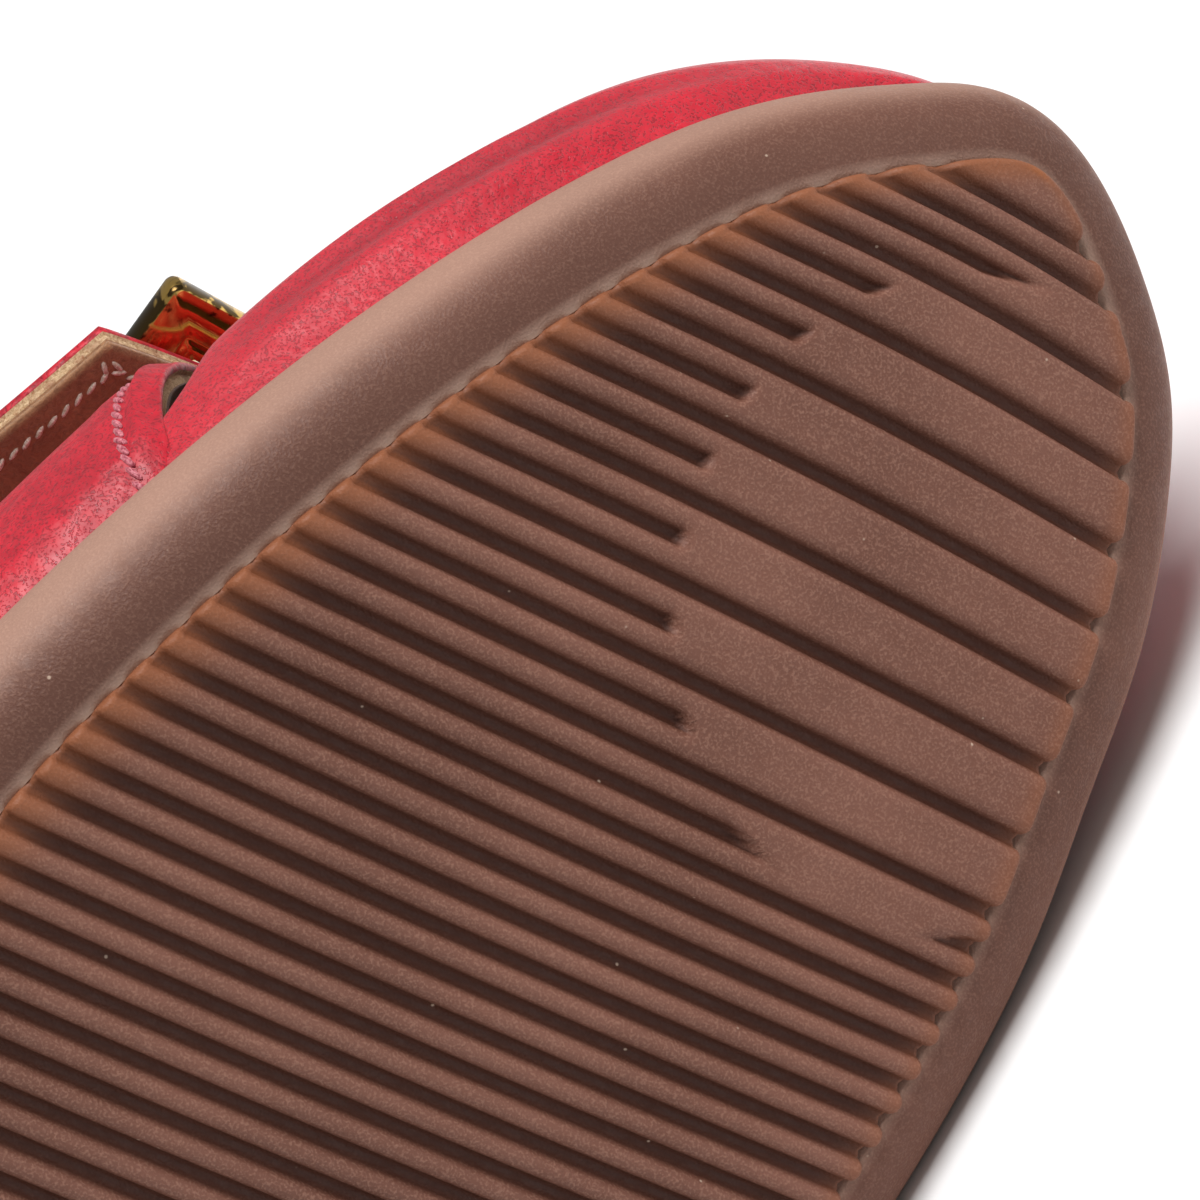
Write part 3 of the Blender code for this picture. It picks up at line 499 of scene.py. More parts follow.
def between(start, end, shares):
    """Rows of points, each from a point of one line to its partner on another."""
    return start[:, None] * (1 - shares)[None, :, None] + end[:, None] * shares[None, :, None]


def from_sides(shares, width, reach):
    """0 at both ends of each row, rising softly to 1 at the reach."""
    return ease(np.minimum(shares, 1 - shares)[None, :] * width / reach)


def linked(name, data):
    """A new object of the data, in the scene."""
    made = bpy.data.objects.new(name, data)
    bpy.context.scene.collection.objects.link(made)
    return made


def make_piece(name, points, quads, materials, zones=None, attributes=None, flip=False):
    """A smooth object in the lying shoe's place from points of the upright one. Zones pick each face's material."""
    faces = []
    picks = []
    for number, quad in enumerate(np.asarray(quads)[:, ::-1].tolist() if flip else np.asarray(quads).tolist()):
        ring = [a for i, a in enumerate(quad) if a != quad[i - 1]]
        if len(set(ring)) > 2:
            faces.append(ring)
            picks.append(0 if zones is None else int(zones[number]))
    mesh = bpy.data.meshes.new(name)
    mesh.from_pydata(lay(points).tolist(), [], faces)
    for label, values in (attributes or {}).items():
        layer = mesh.attributes.new(label, "FLOAT", "POINT")
        layer.data.foreach_set("value", np.asarray(values, dtype=np.float32))
    for material in materials:
        mesh.materials.append(material)
    mesh.polygons.foreach_set("material_index", picks)
    mesh.shade_smooth()
    mesh.update()
    return linked(name, mesh)


def finish_piece(made, slot, *nodes):
    """Sets a piece on the shoe's body and hides the CAD nodes that it stands for. The slot argument is not used."""
    if nodes:
        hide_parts(*nodes)
    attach(made, "root")


def linear(code):
    """Linear colour from an sRGB hex code."""
    channels = [int(code[i:i + 2], 16) / 255 for i in (1, 3, 5)]
    return tuple(c / 12.92 if c <= 0.04045 else ((c + 0.055) / 1.055) ** 2.4 for c in channels) + (1.0,)


def add(tree, kind, inputs=None, out=None, **settings):
    """A node with its settings and links, or its output named by out. An input is a value or its source's socket."""
    made = tree.nodes.new(kind)
    for name, value in settings.items():
        setattr(made, name, value)
    for name, value in (inputs or {}).items():
        socket = made.inputs[name]
        if isinstance(value, bpy.types.NodeSocket):
            tree.links.new(value, socket)
        else:
            socket.default_value = value
    return made if out is None else made.outputs[out]


# Numbers of the Mix node's colour sockets, whose names its other kinds share
SHARE, LOWER, UPPER, MIXED = 0, 6, 7, 2


def start_material(name, roughness, **sockets):
    """A material with its Principled shader, and the coordinates of the lying shoe in metres."""
    material = bpy.data.materials.new(name)
    material.use_nodes = True
    tree = material.node_tree
    shader = tree.nodes["Principled BSDF"]
    shader.inputs["Roughness"].default_value = roughness
    for key, value in sockets.items():
        shader.inputs[key.replace("_", " ")].default_value = value
    return material, tree, shader, add(tree, "ShaderNodeTexCoord", out="Object")


def gum_rubber(look):
    """Natural gum rubber, press moulded: matt, with painted shade in its grooves, a painted glow at its thin ends,
    fine grit and specks.
    """
    material, tree, shader, place = start_material(
        "gum_rubber_moulded", 0.58, IOR=1.5, Specular_IOR_Level=0.27)
    # Clouds of 18 mm from the mixing, grit of the mould at 0.2 mm, painted shade, glow and highlight and a pale line
    # that the shapes carry, and a speck in one of seven cells of 1.9 mm
    cloud = add(tree, "ShaderNodeTexNoise", {"Vector": place, "Scale": 1 / (18 * MM), "Detail": 4.0}, "Fac")
    cloud = add(tree, "ShaderNodeMapRange", {"Value": cloud, "From Min": 0.35, "From Max": 0.65}, "Result")
    body = add(tree, "ShaderNodeMix", {SHARE: cloud, LOWER: look.rubber_dark, UPPER: look.rubber_light}, MIXED,
               data_type="RGBA")
    grit = add(tree, "ShaderNodeTexNoise", {"Vector": place, "Scale": 1 / (0.2 * MM), "Detail": 1.0}, "Fac")
    pale = add(tree, "ShaderNodeMapRange", {"Value": grit, "From Min": 0.47, "From Max": 0.70, "To Max": 0.32},
               "Result")
    body = add(tree, "ShaderNodeMix", {SHARE: pale, LOWER: body, UPPER: linear("#a97f6c")}, MIXED, data_type="RGBA")
    # Painted shade in the grooves: each point's groove share darkens it towards the groove colour
    groove = add(tree, "ShaderNodeAttribute", out="Fac", attribute_name="groove")
    groove = add(tree, "ShaderNodeMapRange", {"Value": groove, "From Min": 0.15, "From Max": 1.0, "To Max": 0.9},
                 "Result", interpolation_type="SMOOTHSTEP")
    body = add(tree, "ShaderNodeMix", {SHARE: groove, LOWER: body, UPPER: look.rubber_groove_shade}, MIXED, data_type="RGBA")
    # Painted light and shade on the rubber: a painted glow at the thin rib ends, a painted highlight towards the rim's
    # lip and painted shade low on the rim; then a pale line at the rim's foot
    for label, tint in (("thin", "#8e5330"), ("painted_lip_highlight", "#cfa793"), ("painted_foot_shade", "#3d241b"), ("foot_line", "#c3a593")):
        mark = add(tree, "ShaderNodeAttribute", out="Fac", attribute_name=label)
        body = add(tree, "ShaderNodeMix", {SHARE: mark, LOWER: body, UPPER: linear(tint)}, MIXED, data_type="RGBA")
    specks = add(tree, "ShaderNodeTexVoronoi", {"Vector": place, "Scale": 1 / (1.9 * MM)})
    near = add(tree, "ShaderNodeMapRange", {
        "Value": specks.outputs["Distance"], "From Min": 0.04, "From Max": 0.08, "To Min": 0.7, "To Max": 0.0,
    }, "Result")
    pick = add(tree, "ShaderNodeSeparateColor", {"Color": specks.outputs["Color"]}, "Red")
    pick = add(tree, "ShaderNodeMath", {0: pick, 1: 0.86}, "Value", operation="GREATER_THAN")
    speck = add(tree, "ShaderNodeMath", {0: near, 1: pick}, "Value", operation="MULTIPLY")
    body = add(tree, "ShaderNodeMix", {SHARE: speck, LOWER: body, UPPER: linear("#c2ab98")}, MIXED, data_type="RGBA")
    tree.links.new(body, shader.inputs["Base Color"])
    dull = add(tree, "ShaderNodeTexNoise", {"Vector": place, "Scale": 1 / (1.2 * MM)}, "Fac")
    dull = add(tree, "ShaderNodeMapRange", {"Value": dull, "From Min": 0.3, "From Max": 0.7, "To Min": 0.50,
                                            "To Max": 0.66}, "Result")
    tree.links.new(dull, shader.inputs["Roughness"])
    relief = add(tree, "ShaderNodeBump", {"Height": grit, "Distance": 0.07 * MM, "Strength": 0.8}, "Normal")
    orange_peel = add(tree, "ShaderNodeTexNoise", {"Vector": place, "Scale": 1 / (1.1 * MM), "Detail": 2.0}, "Fac")
    relief = add(tree, "ShaderNodeBump", {"Height": orange_peel, "Distance": 0.07 * MM, "Strength": 0.5,
                                          "Normal": relief}, "Normal")
    tree.links.new(relief, shader.inputs["Normal"])
    return material


def red_leather(name, look, pore, pebble, softness, sheen):
    """Calf leather, drum dyed with a soft clear finish: dark round pores, a milled pebble where it is soft, and
    painted shade in a crease.
    """
    material, tree, shader, place = start_material(
        name, 0.46, IOR=1.5, Specular_IOR_Level=0.42, Sheen_Weight=sheen, Sheen_Roughness=0.4,
        Coat_Weight=0.05, Coat_Roughness=0.40)
    # Pores and pebbles bent by a 2.4 mm wave so that they form no rows
    bend = add(tree, "ShaderNodeTexNoise", {"Vector": place, "Scale": 1 / (2.4 * MM), "Detail": 2.0}, "Color")
    bend = add(tree, "ShaderNodeVectorMath", {0: bend, 1: (0.8 * MM,) * 3}, "Vector", operation="MULTIPLY")
    bent = add(tree, "ShaderNodeVectorMath", {0: place, 1: bend}, "Vector", operation="ADD")
    pores = add(tree, "ShaderNodeTexNoise", {"Vector": bent, "Scale": 1 / pore, "Detail": 1.0}, "Fac")
    pit = add(tree, "ShaderNodeMapRange", {"Value": pores, "From Min": 0.36, "From Max": 0.47, "To Min": 1.0,
                                           "To Max": 0.0}, "Result", interpolation_type="SMOOTHSTEP")
    cells = add(tree, "ShaderNodeTexVoronoi", {"Vector": bent, "Scale": 1 / pebble, "Smoothness": 0.5}, "Distance",
                feature="SMOOTH_F1")
    dye = add(tree, "ShaderNodeTexNoise", {"Vector": place, "Scale": 1 / (12 * MM), "Detail": 4.0}, "Fac")
    dye = add(tree, "ShaderNodeMapRange", {"Value": dye, "From Min": 0.32, "From Max": 0.68}, "Result")
    body = add(tree, "ShaderNodeMix", {SHARE: dye, LOWER: look.leather_dark, UPPER: look.leather_light}, MIXED,
               data_type="RGBA")
    crease_shade = add(tree, "ShaderNodeAttribute", out="Fac", attribute_name="crease_shade")
    low = add(tree, "ShaderNodeMapRange", {"Value": cells, "From Min": 0.35, "From Max": 0.75,
                                           "To Max": 0.30 * softness}, "Result")
    deep = add(tree, "ShaderNodeMath", {0: pit, 1: 0.46}, "Value", operation="MULTIPLY")
    # The crease's painted shade first, then the pebble's lows and the pores
    for share, tint in ((crease_shade, "#6d0618"), (low, "#6f0719"), (deep, "#550313")):
        body = add(tree, "ShaderNodeMix", {SHARE: share, LOWER: body, UPPER: linear(tint)}, MIXED, data_type="RGBA")
    tree.links.new(body, shader.inputs["Base Color"])
    gloss = add(tree, "ShaderNodeTexNoise", {"Vector": place, "Scale": 1 / (1.8 * MM)}, "Fac")
    gloss = add(tree, "ShaderNodeMapRange", {"Value": gloss, "From Min": 0.3, "From Max": 0.7, "To Min": 0.38,
                                             "To Max": 0.56}, "Result")
    tree.links.new(gloss, shader.inputs["Roughness"])
    wave = add(tree, "ShaderNodeTexNoise", {"Vector": place, "Scale": 1 / (3.4 * MM), "Detail": 3.0,
                                            "Distortion": 0.6}, "Fac")
    relief = add(tree, "ShaderNodeBump", {"Height": wave, "Distance": 0.15 * MM * softness, "Strength": 0.8}, "Normal")
    fine = add(tree, "ShaderNodeTexNoise", {"Vector": place, "Scale": 1 / (0.3 * MM), "Detail": 2.0}, "Fac")
    rows = ((cells, -0.11 * MM * softness, 0.9), (pit, -0.05 * MM, 0.65), (fine, 0.04 * MM, 0.5))
    for height, lift, strength in rows:
        relief = add(tree, "ShaderNodeBump", {"Height": height, "Distance": lift, "Strength": strength,
                                              "Normal": relief}, "Normal")
    tree.links.new(relief, shader.inputs["Normal"])
    return material


def napped_lining(name, colour, dark):
    """Brushed nap of a lining, cotton or suede: dull, with a short pile that lies in changing directions."""
    material, tree, shader, place = start_material(name, 0.92, Specular_IOR_Level=0.2, Sheen_Weight=0.35,
                                                   Sheen_Roughness=0.5)
    # Fibres are drawn at 0.45 mm, coarser than real ones, so that they show; the nap changes every 7 mm
    fibre = add(tree, "ShaderNodeTexNoise", {"Vector": place, "Scale": 1 / (0.45 * MM), "Detail": 5.0,
                                             "Roughness": 0.7, "Distortion": 1.2}, "Fac")
    share = add(tree, "ShaderNodeMapRange", {"Value": fibre, "From Min": 0.3, "From Max": 0.7}, "Result")
    body = add(tree, "ShaderNodeMix", {SHARE: share, LOWER: linear(dark), UPPER: linear(colour)}, MIXED,
               data_type="RGBA")
    nap = add(tree, "ShaderNodeTexNoise", {"Vector": place, "Scale": 1 / (7 * MM), "Detail": 3.0}, "Fac")
    nap = add(tree, "ShaderNodeMapRange", {"Value": nap, "From Min": 0.4, "From Max": 0.7, "To Max": 0.4}, "Result")
    body = add(tree, "ShaderNodeMix", {SHARE: nap, LOWER: body, UPPER: linear(dark)}, MIXED, data_type="RGBA")
    tree.links.new(body, shader.inputs["Base Color"])
    relief = add(tree, "ShaderNodeBump", {"Height": fibre, "Distance": 0.16 * MM, "Strength": 0.9}, "Normal")
    tree.links.new(relief, shader.inputs["Normal"])
    return material


def cut_edge(look):
    """Cut edge of undyed leather: pale, fibrous, in fine layers, stained by the dye in places."""
    material, tree, shader, place = start_material("raw_leather_edge", 0.85, Specular_IOR_Level=0.25)
    fibre = add(tree, "ShaderNodeTexNoise", {"Vector": place, "Scale": 1 / (0.32 * MM), "Detail": 5.0,
                                             "Roughness": 0.75, "Distortion": 0.8}, "Fac")
    share = add(tree, "ShaderNodeMapRange", {"Value": fibre, "From Min": 0.35, "From Max": 0.7}, "Result")
    body = add(tree, "ShaderNodeMix", {SHARE: share, LOWER: linear("#a2764f"), UPPER: look.raw_edge}, MIXED,
               data_type="RGBA")
    stain = add(tree, "ShaderNodeTexNoise", {"Vector": place, "Scale": 1 / (1.6 * MM), "Detail": 3.0}, "Fac")
    stain = add(tree, "ShaderNodeMapRange", {"Value": stain, "From Min": 0.5, "From Max": 0.75, "To Max": 0.5},
                "Result")
    body = add(tree, "ShaderNodeMix", {SHARE: stain, LOWER: body, UPPER: linear("#8a3f38")}, MIXED, data_type="RGBA")
    tree.links.new(body, shader.inputs["Base Color"])
    relief = add(tree, "ShaderNodeBump", {"Height": fibre, "Distance": 0.18 * MM, "Strength": 1.0}, "Normal")
    tree.links.new(relief, shader.inputs["Normal"])
    return material


def polished_gold(look):
    """Zinc casting plated in pale gold and polished: a near mirror, waved by hand polishing, with dark patches, most
    on its outer side.
    """
    material, tree, shader, place = start_material("gold_plated_polished", 0.10, Metallic=1.0)
    # Dark patches of 2.5 mm, more of them on the outer side face, polishing waves of 2.8 mm
    dark_patch = add(tree, "ShaderNodeTexNoise", {"Vector": place, "Scale": 1 / (2.5 * MM), "Detail": 4.0,
                                            "Distortion": 1.4}, "Fac")
    side = add(tree, "ShaderNodeAttribute", out="Fac", attribute_name="side")
    level = add(tree, "ShaderNodeMath", {0: side, 1: 0.20, 2: dark_patch}, "Value", operation="MULTIPLY_ADD")
    share = add(tree, "ShaderNodeMapRange", {"Value": level, "From Min": 0.58, "From Max": 0.68, "To Max": 0.92},
                "Result", interpolation_type="SMOOTHSTEP")
    body = add(tree, "ShaderNodeMix", {SHARE: share, LOWER: look.gold, UPPER: linear("#33271a")}, MIXED,
               data_type="RGBA")
    tree.links.new(body, shader.inputs["Base Color"])
    gloss = add(tree, "ShaderNodeMapRange", {"Value": level, "From Min": 0.4, "From Max": 0.8, "To Min": 0.07,
                                             "To Max": 0.24}, "Result")
    tree.links.new(gloss, shader.inputs["Roughness"])
    wave = add(tree, "ShaderNodeTexNoise", {"Vector": place, "Scale": 1 / (2.8 * MM), "Detail": 2.0}, "Fac")
    relief = add(tree, "ShaderNodeBump", {"Height": wave, "Distance": 0.08 * MM, "Strength": 0.5}, "Normal")
    tree.links.new(relief, shader.inputs["Normal"])
    return material


def thread(name, colour, dark):
    """Bonded sewing thread, two strands twisted: a silky gloss, with painted shade between the strands."""
    material, tree, shader, place = start_material(name, 0.55, Sheen_Weight=0.3, Sheen_Roughness=0.4)
    strand = add(tree, "ShaderNodeTexNoise", {"Vector": place, "Scale": 1 / (0.28 * MM), "Detail": 3.0,
                                              "Distortion": 1.0}, "Fac")
    # Painted shade between the strands: the thread's colour falls to its dark one there
    share = add(tree, "ShaderNodeMapRange", {"Value": strand, "From Min": 0.35, "From Max": 0.65}, "Result")
    body = add(tree, "ShaderNodeMix", {SHARE: share, LOWER: linear(dark), UPPER: linear(colour)}, MIXED,
               data_type="RGBA")
    tree.links.new(body, shader.inputs["Base Color"])
    relief = add(tree, "ShaderNodeBump", {"Height": strand, "Distance": 0.08 * MM, "Strength": 0.8}, "Normal")
    tree.links.new(relief, shader.inputs["Normal"])
    return material


def colour_setting(name, description, code):
    """A colour that a user would change, from its sRGB hex code."""
    return FloatVectorProperty(
        name=name, description=description, subtype="COLOR", size=4, min=0.0, max=1.0, default=linear(code))


def length_setting(name, description, default):
    """A length that a user would change, in metres."""
    return FloatProperty(
        name=name, description=description, default=default, min=0.0, unit="LENGTH", precision=5)


class ShoeColours(bpy.types.PropertyGroup):
    """Finishes that a user would change."""

    rubber_light: colour_setting("Rubber, light", "Rubber where the mix is light", "#774e40")
    rubber_dark: colour_setting("Rubber, dark", "Rubber where the mix is dark", "#684235")
    # Painted shade: the colour that the grooves are darkened towards
    rubber_groove_shade: colour_setting("Rubber, grooves", "Rubber in the tread's grooves", "#3c1a0d")
    leather_light: colour_setting("Leather, light", "Leather where the dye is thin", "#cc1a30")
    leather_dark: colour_setting("Leather, dark", "Leather where the dye is deep", "#b41127")
    raw_edge: colour_setting("Raw edge", "Undyed leather at a cut", "#f0d4ab")
    gold: colour_setting("Gold", "Plating of the buckle", "#e0b765")


class ShoeSizes(bpy.types.PropertyGroup):
    """Sizes of the fine work that the frame leaves open."""

    groove_depth: length_setting("Groove depth", "Depth of the tread's grooves", 1.25 * MM)
    rib_round: length_setting("Rib rounding", "Rounding of the ribs' ends", 0.45 * MM)
    fold_width: length_setting("Fold width", "Width of the folded edge up to its stitches", 2.4 * MM)
    stitch_length: length_setting("Stitch length", "Length of one stitch", 1.5 * MM)
    thread_radius: length_setting("Thread radius", "Half the thread's thickness", 0.26 * MM)
    edge_stitch_inset: length_setting(
        "Strap stitch inset", "Distance of the strap's stitches from its edge", 1.9 * MM)
    seed: IntProperty(name="Seed", description="Seed of the stitches' small turns", default=7)


class ShoeStage(bpy.types.PropertyGroup):
    """Floor, light and camera."""

    floor: FloatVectorProperty(
        name="Floor", description="Colour of the floor", default=(0.90, 0.90, 0.90), subtype="COLOR",
        min=0.0, max=1.0)
    key: FloatProperty(name="Key light", description="Strength of the key light", default=3.7, min=0.0)
    fill: FloatProperty(name="Fill light", description="Strength of the fill light", default=0.15, min=0.0)
    sky: FloatProperty(name="Sky", description="Strength of the surrounding light", default=0.28, min=0.0)
    lens: FloatProperty(name="Lens", description="Focal length in millimetres", default=135.0, min=20.0)


# How far each rib bows to the toe in its middle, by the number of its groove, counted from the ball
BOW_GROOVES = (3, 7, 11, 17, 25)
BOW = (-0.3 * MM, -0.3 * MM, 0.0, 0.55 * MM, 0.65 * MM)
BOW_FADE = 10 * MM
# Rows over one pitch, as shares of it from the groove's middle
GROOVE_ROWS = (-0.36, -0.27, -0.215, -0.178, 0.0, 0.178, 0.215, 0.27, 0.36, 0.5)
# Rows of the smooth stretches, and points across each row
SMOOTH_HEEL_ROWS = 26
SMOOTH_WAIST_ROWS = 36
SMOOTH_TOE_ROWS = 14
TREAD_COLUMNS = 150
# Where a row of the tread lies
SMOOTH, IN_FOREFOOT, IN_HEEL = 0, 1, 2
# A rib's half width as a share of the pitch, and the exponent of its round section
RIB_HALF = 0.33
RIB_SQUARE = 2.3
# The grooves at the tread's edge: their depth, how far inwards it grows to the full one, and the scallops they cut
EDGE_DEPTH = 1.0 * MM
EDGE_REACH = 5 * MM
SCALLOP = {LATERAL: 0.15 * MM, MEDIAL: 0.60 * MM}
# How far the grooves take to run out at a pad
PAD_FALL = 0.65 * MM
# The ribs' round ends: angles of their rows, how high they go as a share of the sole, how far their last row steps in,
# and how much of the grooves' painted shade the first and the last row keep
END_ANGLES = np.radians((18, 36, 54, 72, 90))
END_HEIGHT = 0.16
END_TUCK = 0.1 * MM
END_FADE = (0.8, 0.2)
# The painted glow of thin rubber at both edges, how far inwards it reaches, and the share of it that the grooves take
PAINTED_GLOW = {LATERAL: 0.7, MEDIAL: 0.35}
PAINTED_GLOW_REACH = {LATERAL: 2.6 * MM, MEDIAL: 1.2 * MM}
PAINTED_GLOW_LOSS = 0.55


def tread_rows():
    """Rows of the tread from heel to toe: y, distance to the groove's middle, its number, and where the row lies."""
    rows = []
    for kind, group in ((IN_HEEL, HEEL), (IN_FOREFOOT, FOREFOOT)):
        low, high = np.interp([group.start * TREAD_LENGTH, group.end * TREAD_LENGTH], SPRING_Y, SPRING_ALONG)
        numbers = range(ceil(low / RIB_PITCH), floor(high / RIB_PITCH) + 1)
        rows.append(((numbers[0] - 0.5) * RIB_PITCH, -RIB_PITCH / 2, numbers[0], kind))
        for number in numbers:
            rows += [((number + share) * RIB_PITCH, share * RIB_PITCH, number, kind) for share in GROOVE_ROWS]
    made = [(float(np.interp(along, SPRING_ALONG, SPRING_Y)), off, number, kind) for along, off, number, kind in rows]
    made = [row for row in made if HEEL_Y < row[0] < TOE_Y]
    smooth = list(HEEL_Y + (made[0][0] - HEEL_Y) * np.linspace(0, 1, SMOOTH_HEEL_ROWS)[:-1] ** 2)
    first = next(i for i, row in enumerate(made) if row[3] == IN_FOREFOOT)
    smooth += list(np.linspace(made[first - 1][0], made[first][0], SMOOTH_WAIST_ROWS)[1:-1])
    smooth += list(TOE_Y - (TOE_Y - made[-1][0]) * np.linspace(1, 0, SMOOTH_TOE_ROWS)[1:] ** 2)
    made += [(float(y), RIB_PITCH / 2, 0, SMOOTH) for y in smooth]
    return [np.array(column) for column in zip(*sorted(made))]


def rib_section(off):
    """Share of the groove's depth at a distance from its middle: round-topped ribs with steep sides."""
    from_rib = (RIB_PITCH / 2 - np.abs(off)) / (RIB_HALF * RIB_PITCH)
    return 1 - np.sqrt(np.maximum(1 - np.clip(from_rib, 0, 1) ** RIB_SQUARE, 0))


def outside_disc(x, y, across, along, radius):
    """1 outside a round pad, falling steeply to 0 on it."""
    far = np.hypot(x - across * TREAD_WIDTH[BALL_WIDTH], y - along * TREAD_LENGTH)
    return ease((far - radius) / PAD_FALL)


def groove_share(x, y, off, number, kind):
    """Share of the groove's depth at places of the tread."""
    share = rib_section(off) * (kind != SMOOTH)
    even = (number % 2 == 0) & (kind == IN_FOREFOOT)
    toe = outside_disc(x, y, FOREFOOT.pad_across, FOREFOOT.pad_along, FOREFOOT.pad_radius)
    side = outside_disc(x, y, *SIDE_PAD, SIDE_PAD_RADIUS)
    heel = outside_disc(x, y, HEEL.pad_across, HEEL.pad_along, HEEL.pad_radius)
    return share * np.where(even, toe * side, 1.0) * np.where(kind == IN_HEEL, heel, 1.0)


def make_tread(sizes, rubber):
    """The tread: ribs with round tops and ends, scalloped at the edge, smooth pads, and a flat back in the sole."""
    y, off, number, kind = tread_rows()
    round_end = sizes.rib_round
    back = {}
    ends = {}
    for side in (LATERAL, MEDIAL):
        x, _, nx, ny = edge(y, side)
        back[side] = SCALLOP[side] * groove_share(x, y, off, number, kind)
        inset = round_end + back[side]
        ends[side] = np.stack([x - inset * nx, y - inset * ny], axis=-1)
    c = np.linspace(0, 1, TREAD_COLUMNS)
    flat = between(ends[MEDIAL], ends[LATERAL], c)
    x = flat[..., 0]
    bow = np.where(kind == IN_FOREFOOT, np.interp(number, BOW_GROOVES, BOW), 0.0)[:, None]
    along = flat[..., 1] + bow * (4 * c * (1 - c)) * ease((TOE_Y - y) / BOW_FADE)[:, None]
    width = np.linalg.norm(ends[LATERAL] - ends[MEDIAL], axis=1)[:, None]
    share = groove_share(x, along, off[:, None], number[:, None], kind[:, None])
    depth = share * (EDGE_DEPTH + (sizes.groove_depth - EDGE_DEPTH) * from_sides(c, width, EDGE_REACH))
    slope = tread_slope(along)
    middle = np.stack([x, along - depth * np.sin(slope), tread_height(along) + depth * np.cos(slope)], axis=-1)
    strips = {}
    shares = {}
    wall = END_HEIGHT * sole_height(y)
    fading = np.linspace(*END_FADE, len(END_ANGLES) + 1)
    for side, column in ((LATERAL, -1), (MEDIAL, 0)):
        strip = []
        for angle in END_ANGLES:
            out = -round_end - back[side] + round_end * sin(angle)
            strip.append(sole_point(y, side, out, np.minimum(depth[:, column] + round_end * (1 - cos(angle)), wall)))
        strip.append(sole_point(y, side, -back[side] - END_TUCK, wall))
        strips[side] = np.stack(strip, axis=1)
        shares[side] = share[:, [column]] * fading
    grid = np.concatenate([strips[MEDIAL][:, ::-1], middle, strips[LATERAL]], axis=1)
    grooves = np.concatenate([shares[MEDIAL][:, ::-1], share, shares[LATERAL]], axis=1)
    # Painted glow at the thin rib ends, less of it in the grooves, and painted shade in the grooves
    glow = {side: PAINTED_GLOW[side] * bell(np.linalg.norm(grid - strips[side][:, :1], axis=2), PAINTED_GLOW_REACH[side])
            for side in (LATERAL, MEDIAL)}
    glow[LATERAL][:, -len(fading):] = PAINTED_GLOW[LATERAL]
    thin = (glow[LATERAL] + glow[MEDIAL]) * (1 - PAINTED_GLOW_LOSS * grooves)
    points, quads, first = weld(grid.reshape(-1, 3), ring_quads(*grid.shape[:2]))
    return make_piece(
        "tread", points, quads, [rubber],
        attributes={"groove": grooves.reshape(-1)[first], "thin": thin.reshape(-1)[first]}, flip=True)


SOLE_ROWS = 420
RIM_STEPS = 26
# Ends of the rim's section, as out and share of the sole's height: under the tread, and in over the lip
UNDER_TREAD = ((-0.9 * MM, 0.165), (-0.3 * MM, 0.150))
OVER_LIP = ((LIP_OUT + 0.45 * MM, 0.993), (LIP_OUT, 1.0), (LIP_OUT - 3 * MM, 1.0))
# The rim's marks: a pale line at its foot, up to a share of the sole's height, and painted shade and a painted
# highlight at shares of the way from the foot to the lip
FOOT_LINE_REACH = 0.50 * MM
FOOT_LINE_TOP = 0.4
FOOT_SHADE_AT = 0.20
FOOT_SHADE_REACH = 0.22
LIP_HIGHLIGHT_FROM = 0.33
LIP_HIGHLIGHT_SPAN = 0.20
# Strength of each mark on the lateral and the medial side, and the reach from the tips in which both sides meet
MARK_STRENGTHS = {"foot_line": (0.9, 0.35), "painted_foot_shade": (0.56, 0.34), "painted_lip_highlight": (0.40, 0.25)}
TIP_REACH = 16 * MM


def make_sole_body(rubber):
    """The sole over the tread: a broad round rim with a crisp lip under the leather, with painted shade and highlight
    on the rim.
    """
    y = stations(SOLE_ROWS)
    out, share = np.hstack([np.transpose(UNDER_TREAD), rim_profile(RIM_STEPS), np.transpose(OVER_LIP)])
    height = sole_height(y)
    sides = [np.stack([sole_point(y, side, o, s * height) for o, s in zip(out, share)], axis=1)
             for side in (MEDIAL, LATERAL)]
    grid = np.concatenate([sides[0][:, ::-1], sides[1]], axis=1)
    points, quads, first = weld(grid.reshape(-1, 3), ring_quads(*grid.shape[:2]))
    way = np.linspace(0, 1, len(out))
    # Painted shade low on the rim near the tread and a painted highlight towards its lip, with a pale line at its foot
    marks = {
        "foot_line": bell(out - out[len(UNDER_TREAD)], FOOT_LINE_REACH) * (share < FOOT_LINE_TOP),
        "painted_foot_shade": bell(way - FOOT_SHADE_AT, FOOT_SHADE_REACH),
        "painted_lip_highlight": ease((way - LIP_HIGHLIGHT_FROM) / LIP_HIGHLIGHT_SPAN),
    }
    tip = bell(TOE_Y - y, TIP_REACH) + bell(y - HEEL_Y, TIP_REACH)
    attributes = {}
    for label, (lateral, medial) in MARK_STRENGTHS.items():
        half = (lateral - medial) / 2 * tip[:, None]
        both = np.concatenate([(medial + half) * marks[label][::-1], (lateral - half) * marks[label]], axis=1)
        attributes[label] = both.ravel()[first]
    return make_piece("sole_body", points, quads, [rubber], attributes=attributes, flip=True)


def nearest(points, line):
    """Distance of each point to the nearest point of a line."""
    far = np.empty(len(points))
    for start in range(0, len(points), 2000):
        part = points[start:start + 2000]
        far[start:start + 2000] = np.sqrt(((part[:, None] - line[None]) ** 2).sum(axis=2)).min(axis=1)
    return far


def outward_of(line, normals, closed, inside):
    """Directions that leave a sheet square to its edge line and in its plane."""
    if closed:
        tangent = np.roll(line, -1, axis=0) - np.roll(line, 1, axis=0)
    else:
        tangent = np.gradient(line, axis=0)
    out = unit(np.cross(unit(tangent), normals))
    sign = np.sign((out * (line - inside)).sum())
    return out * sign


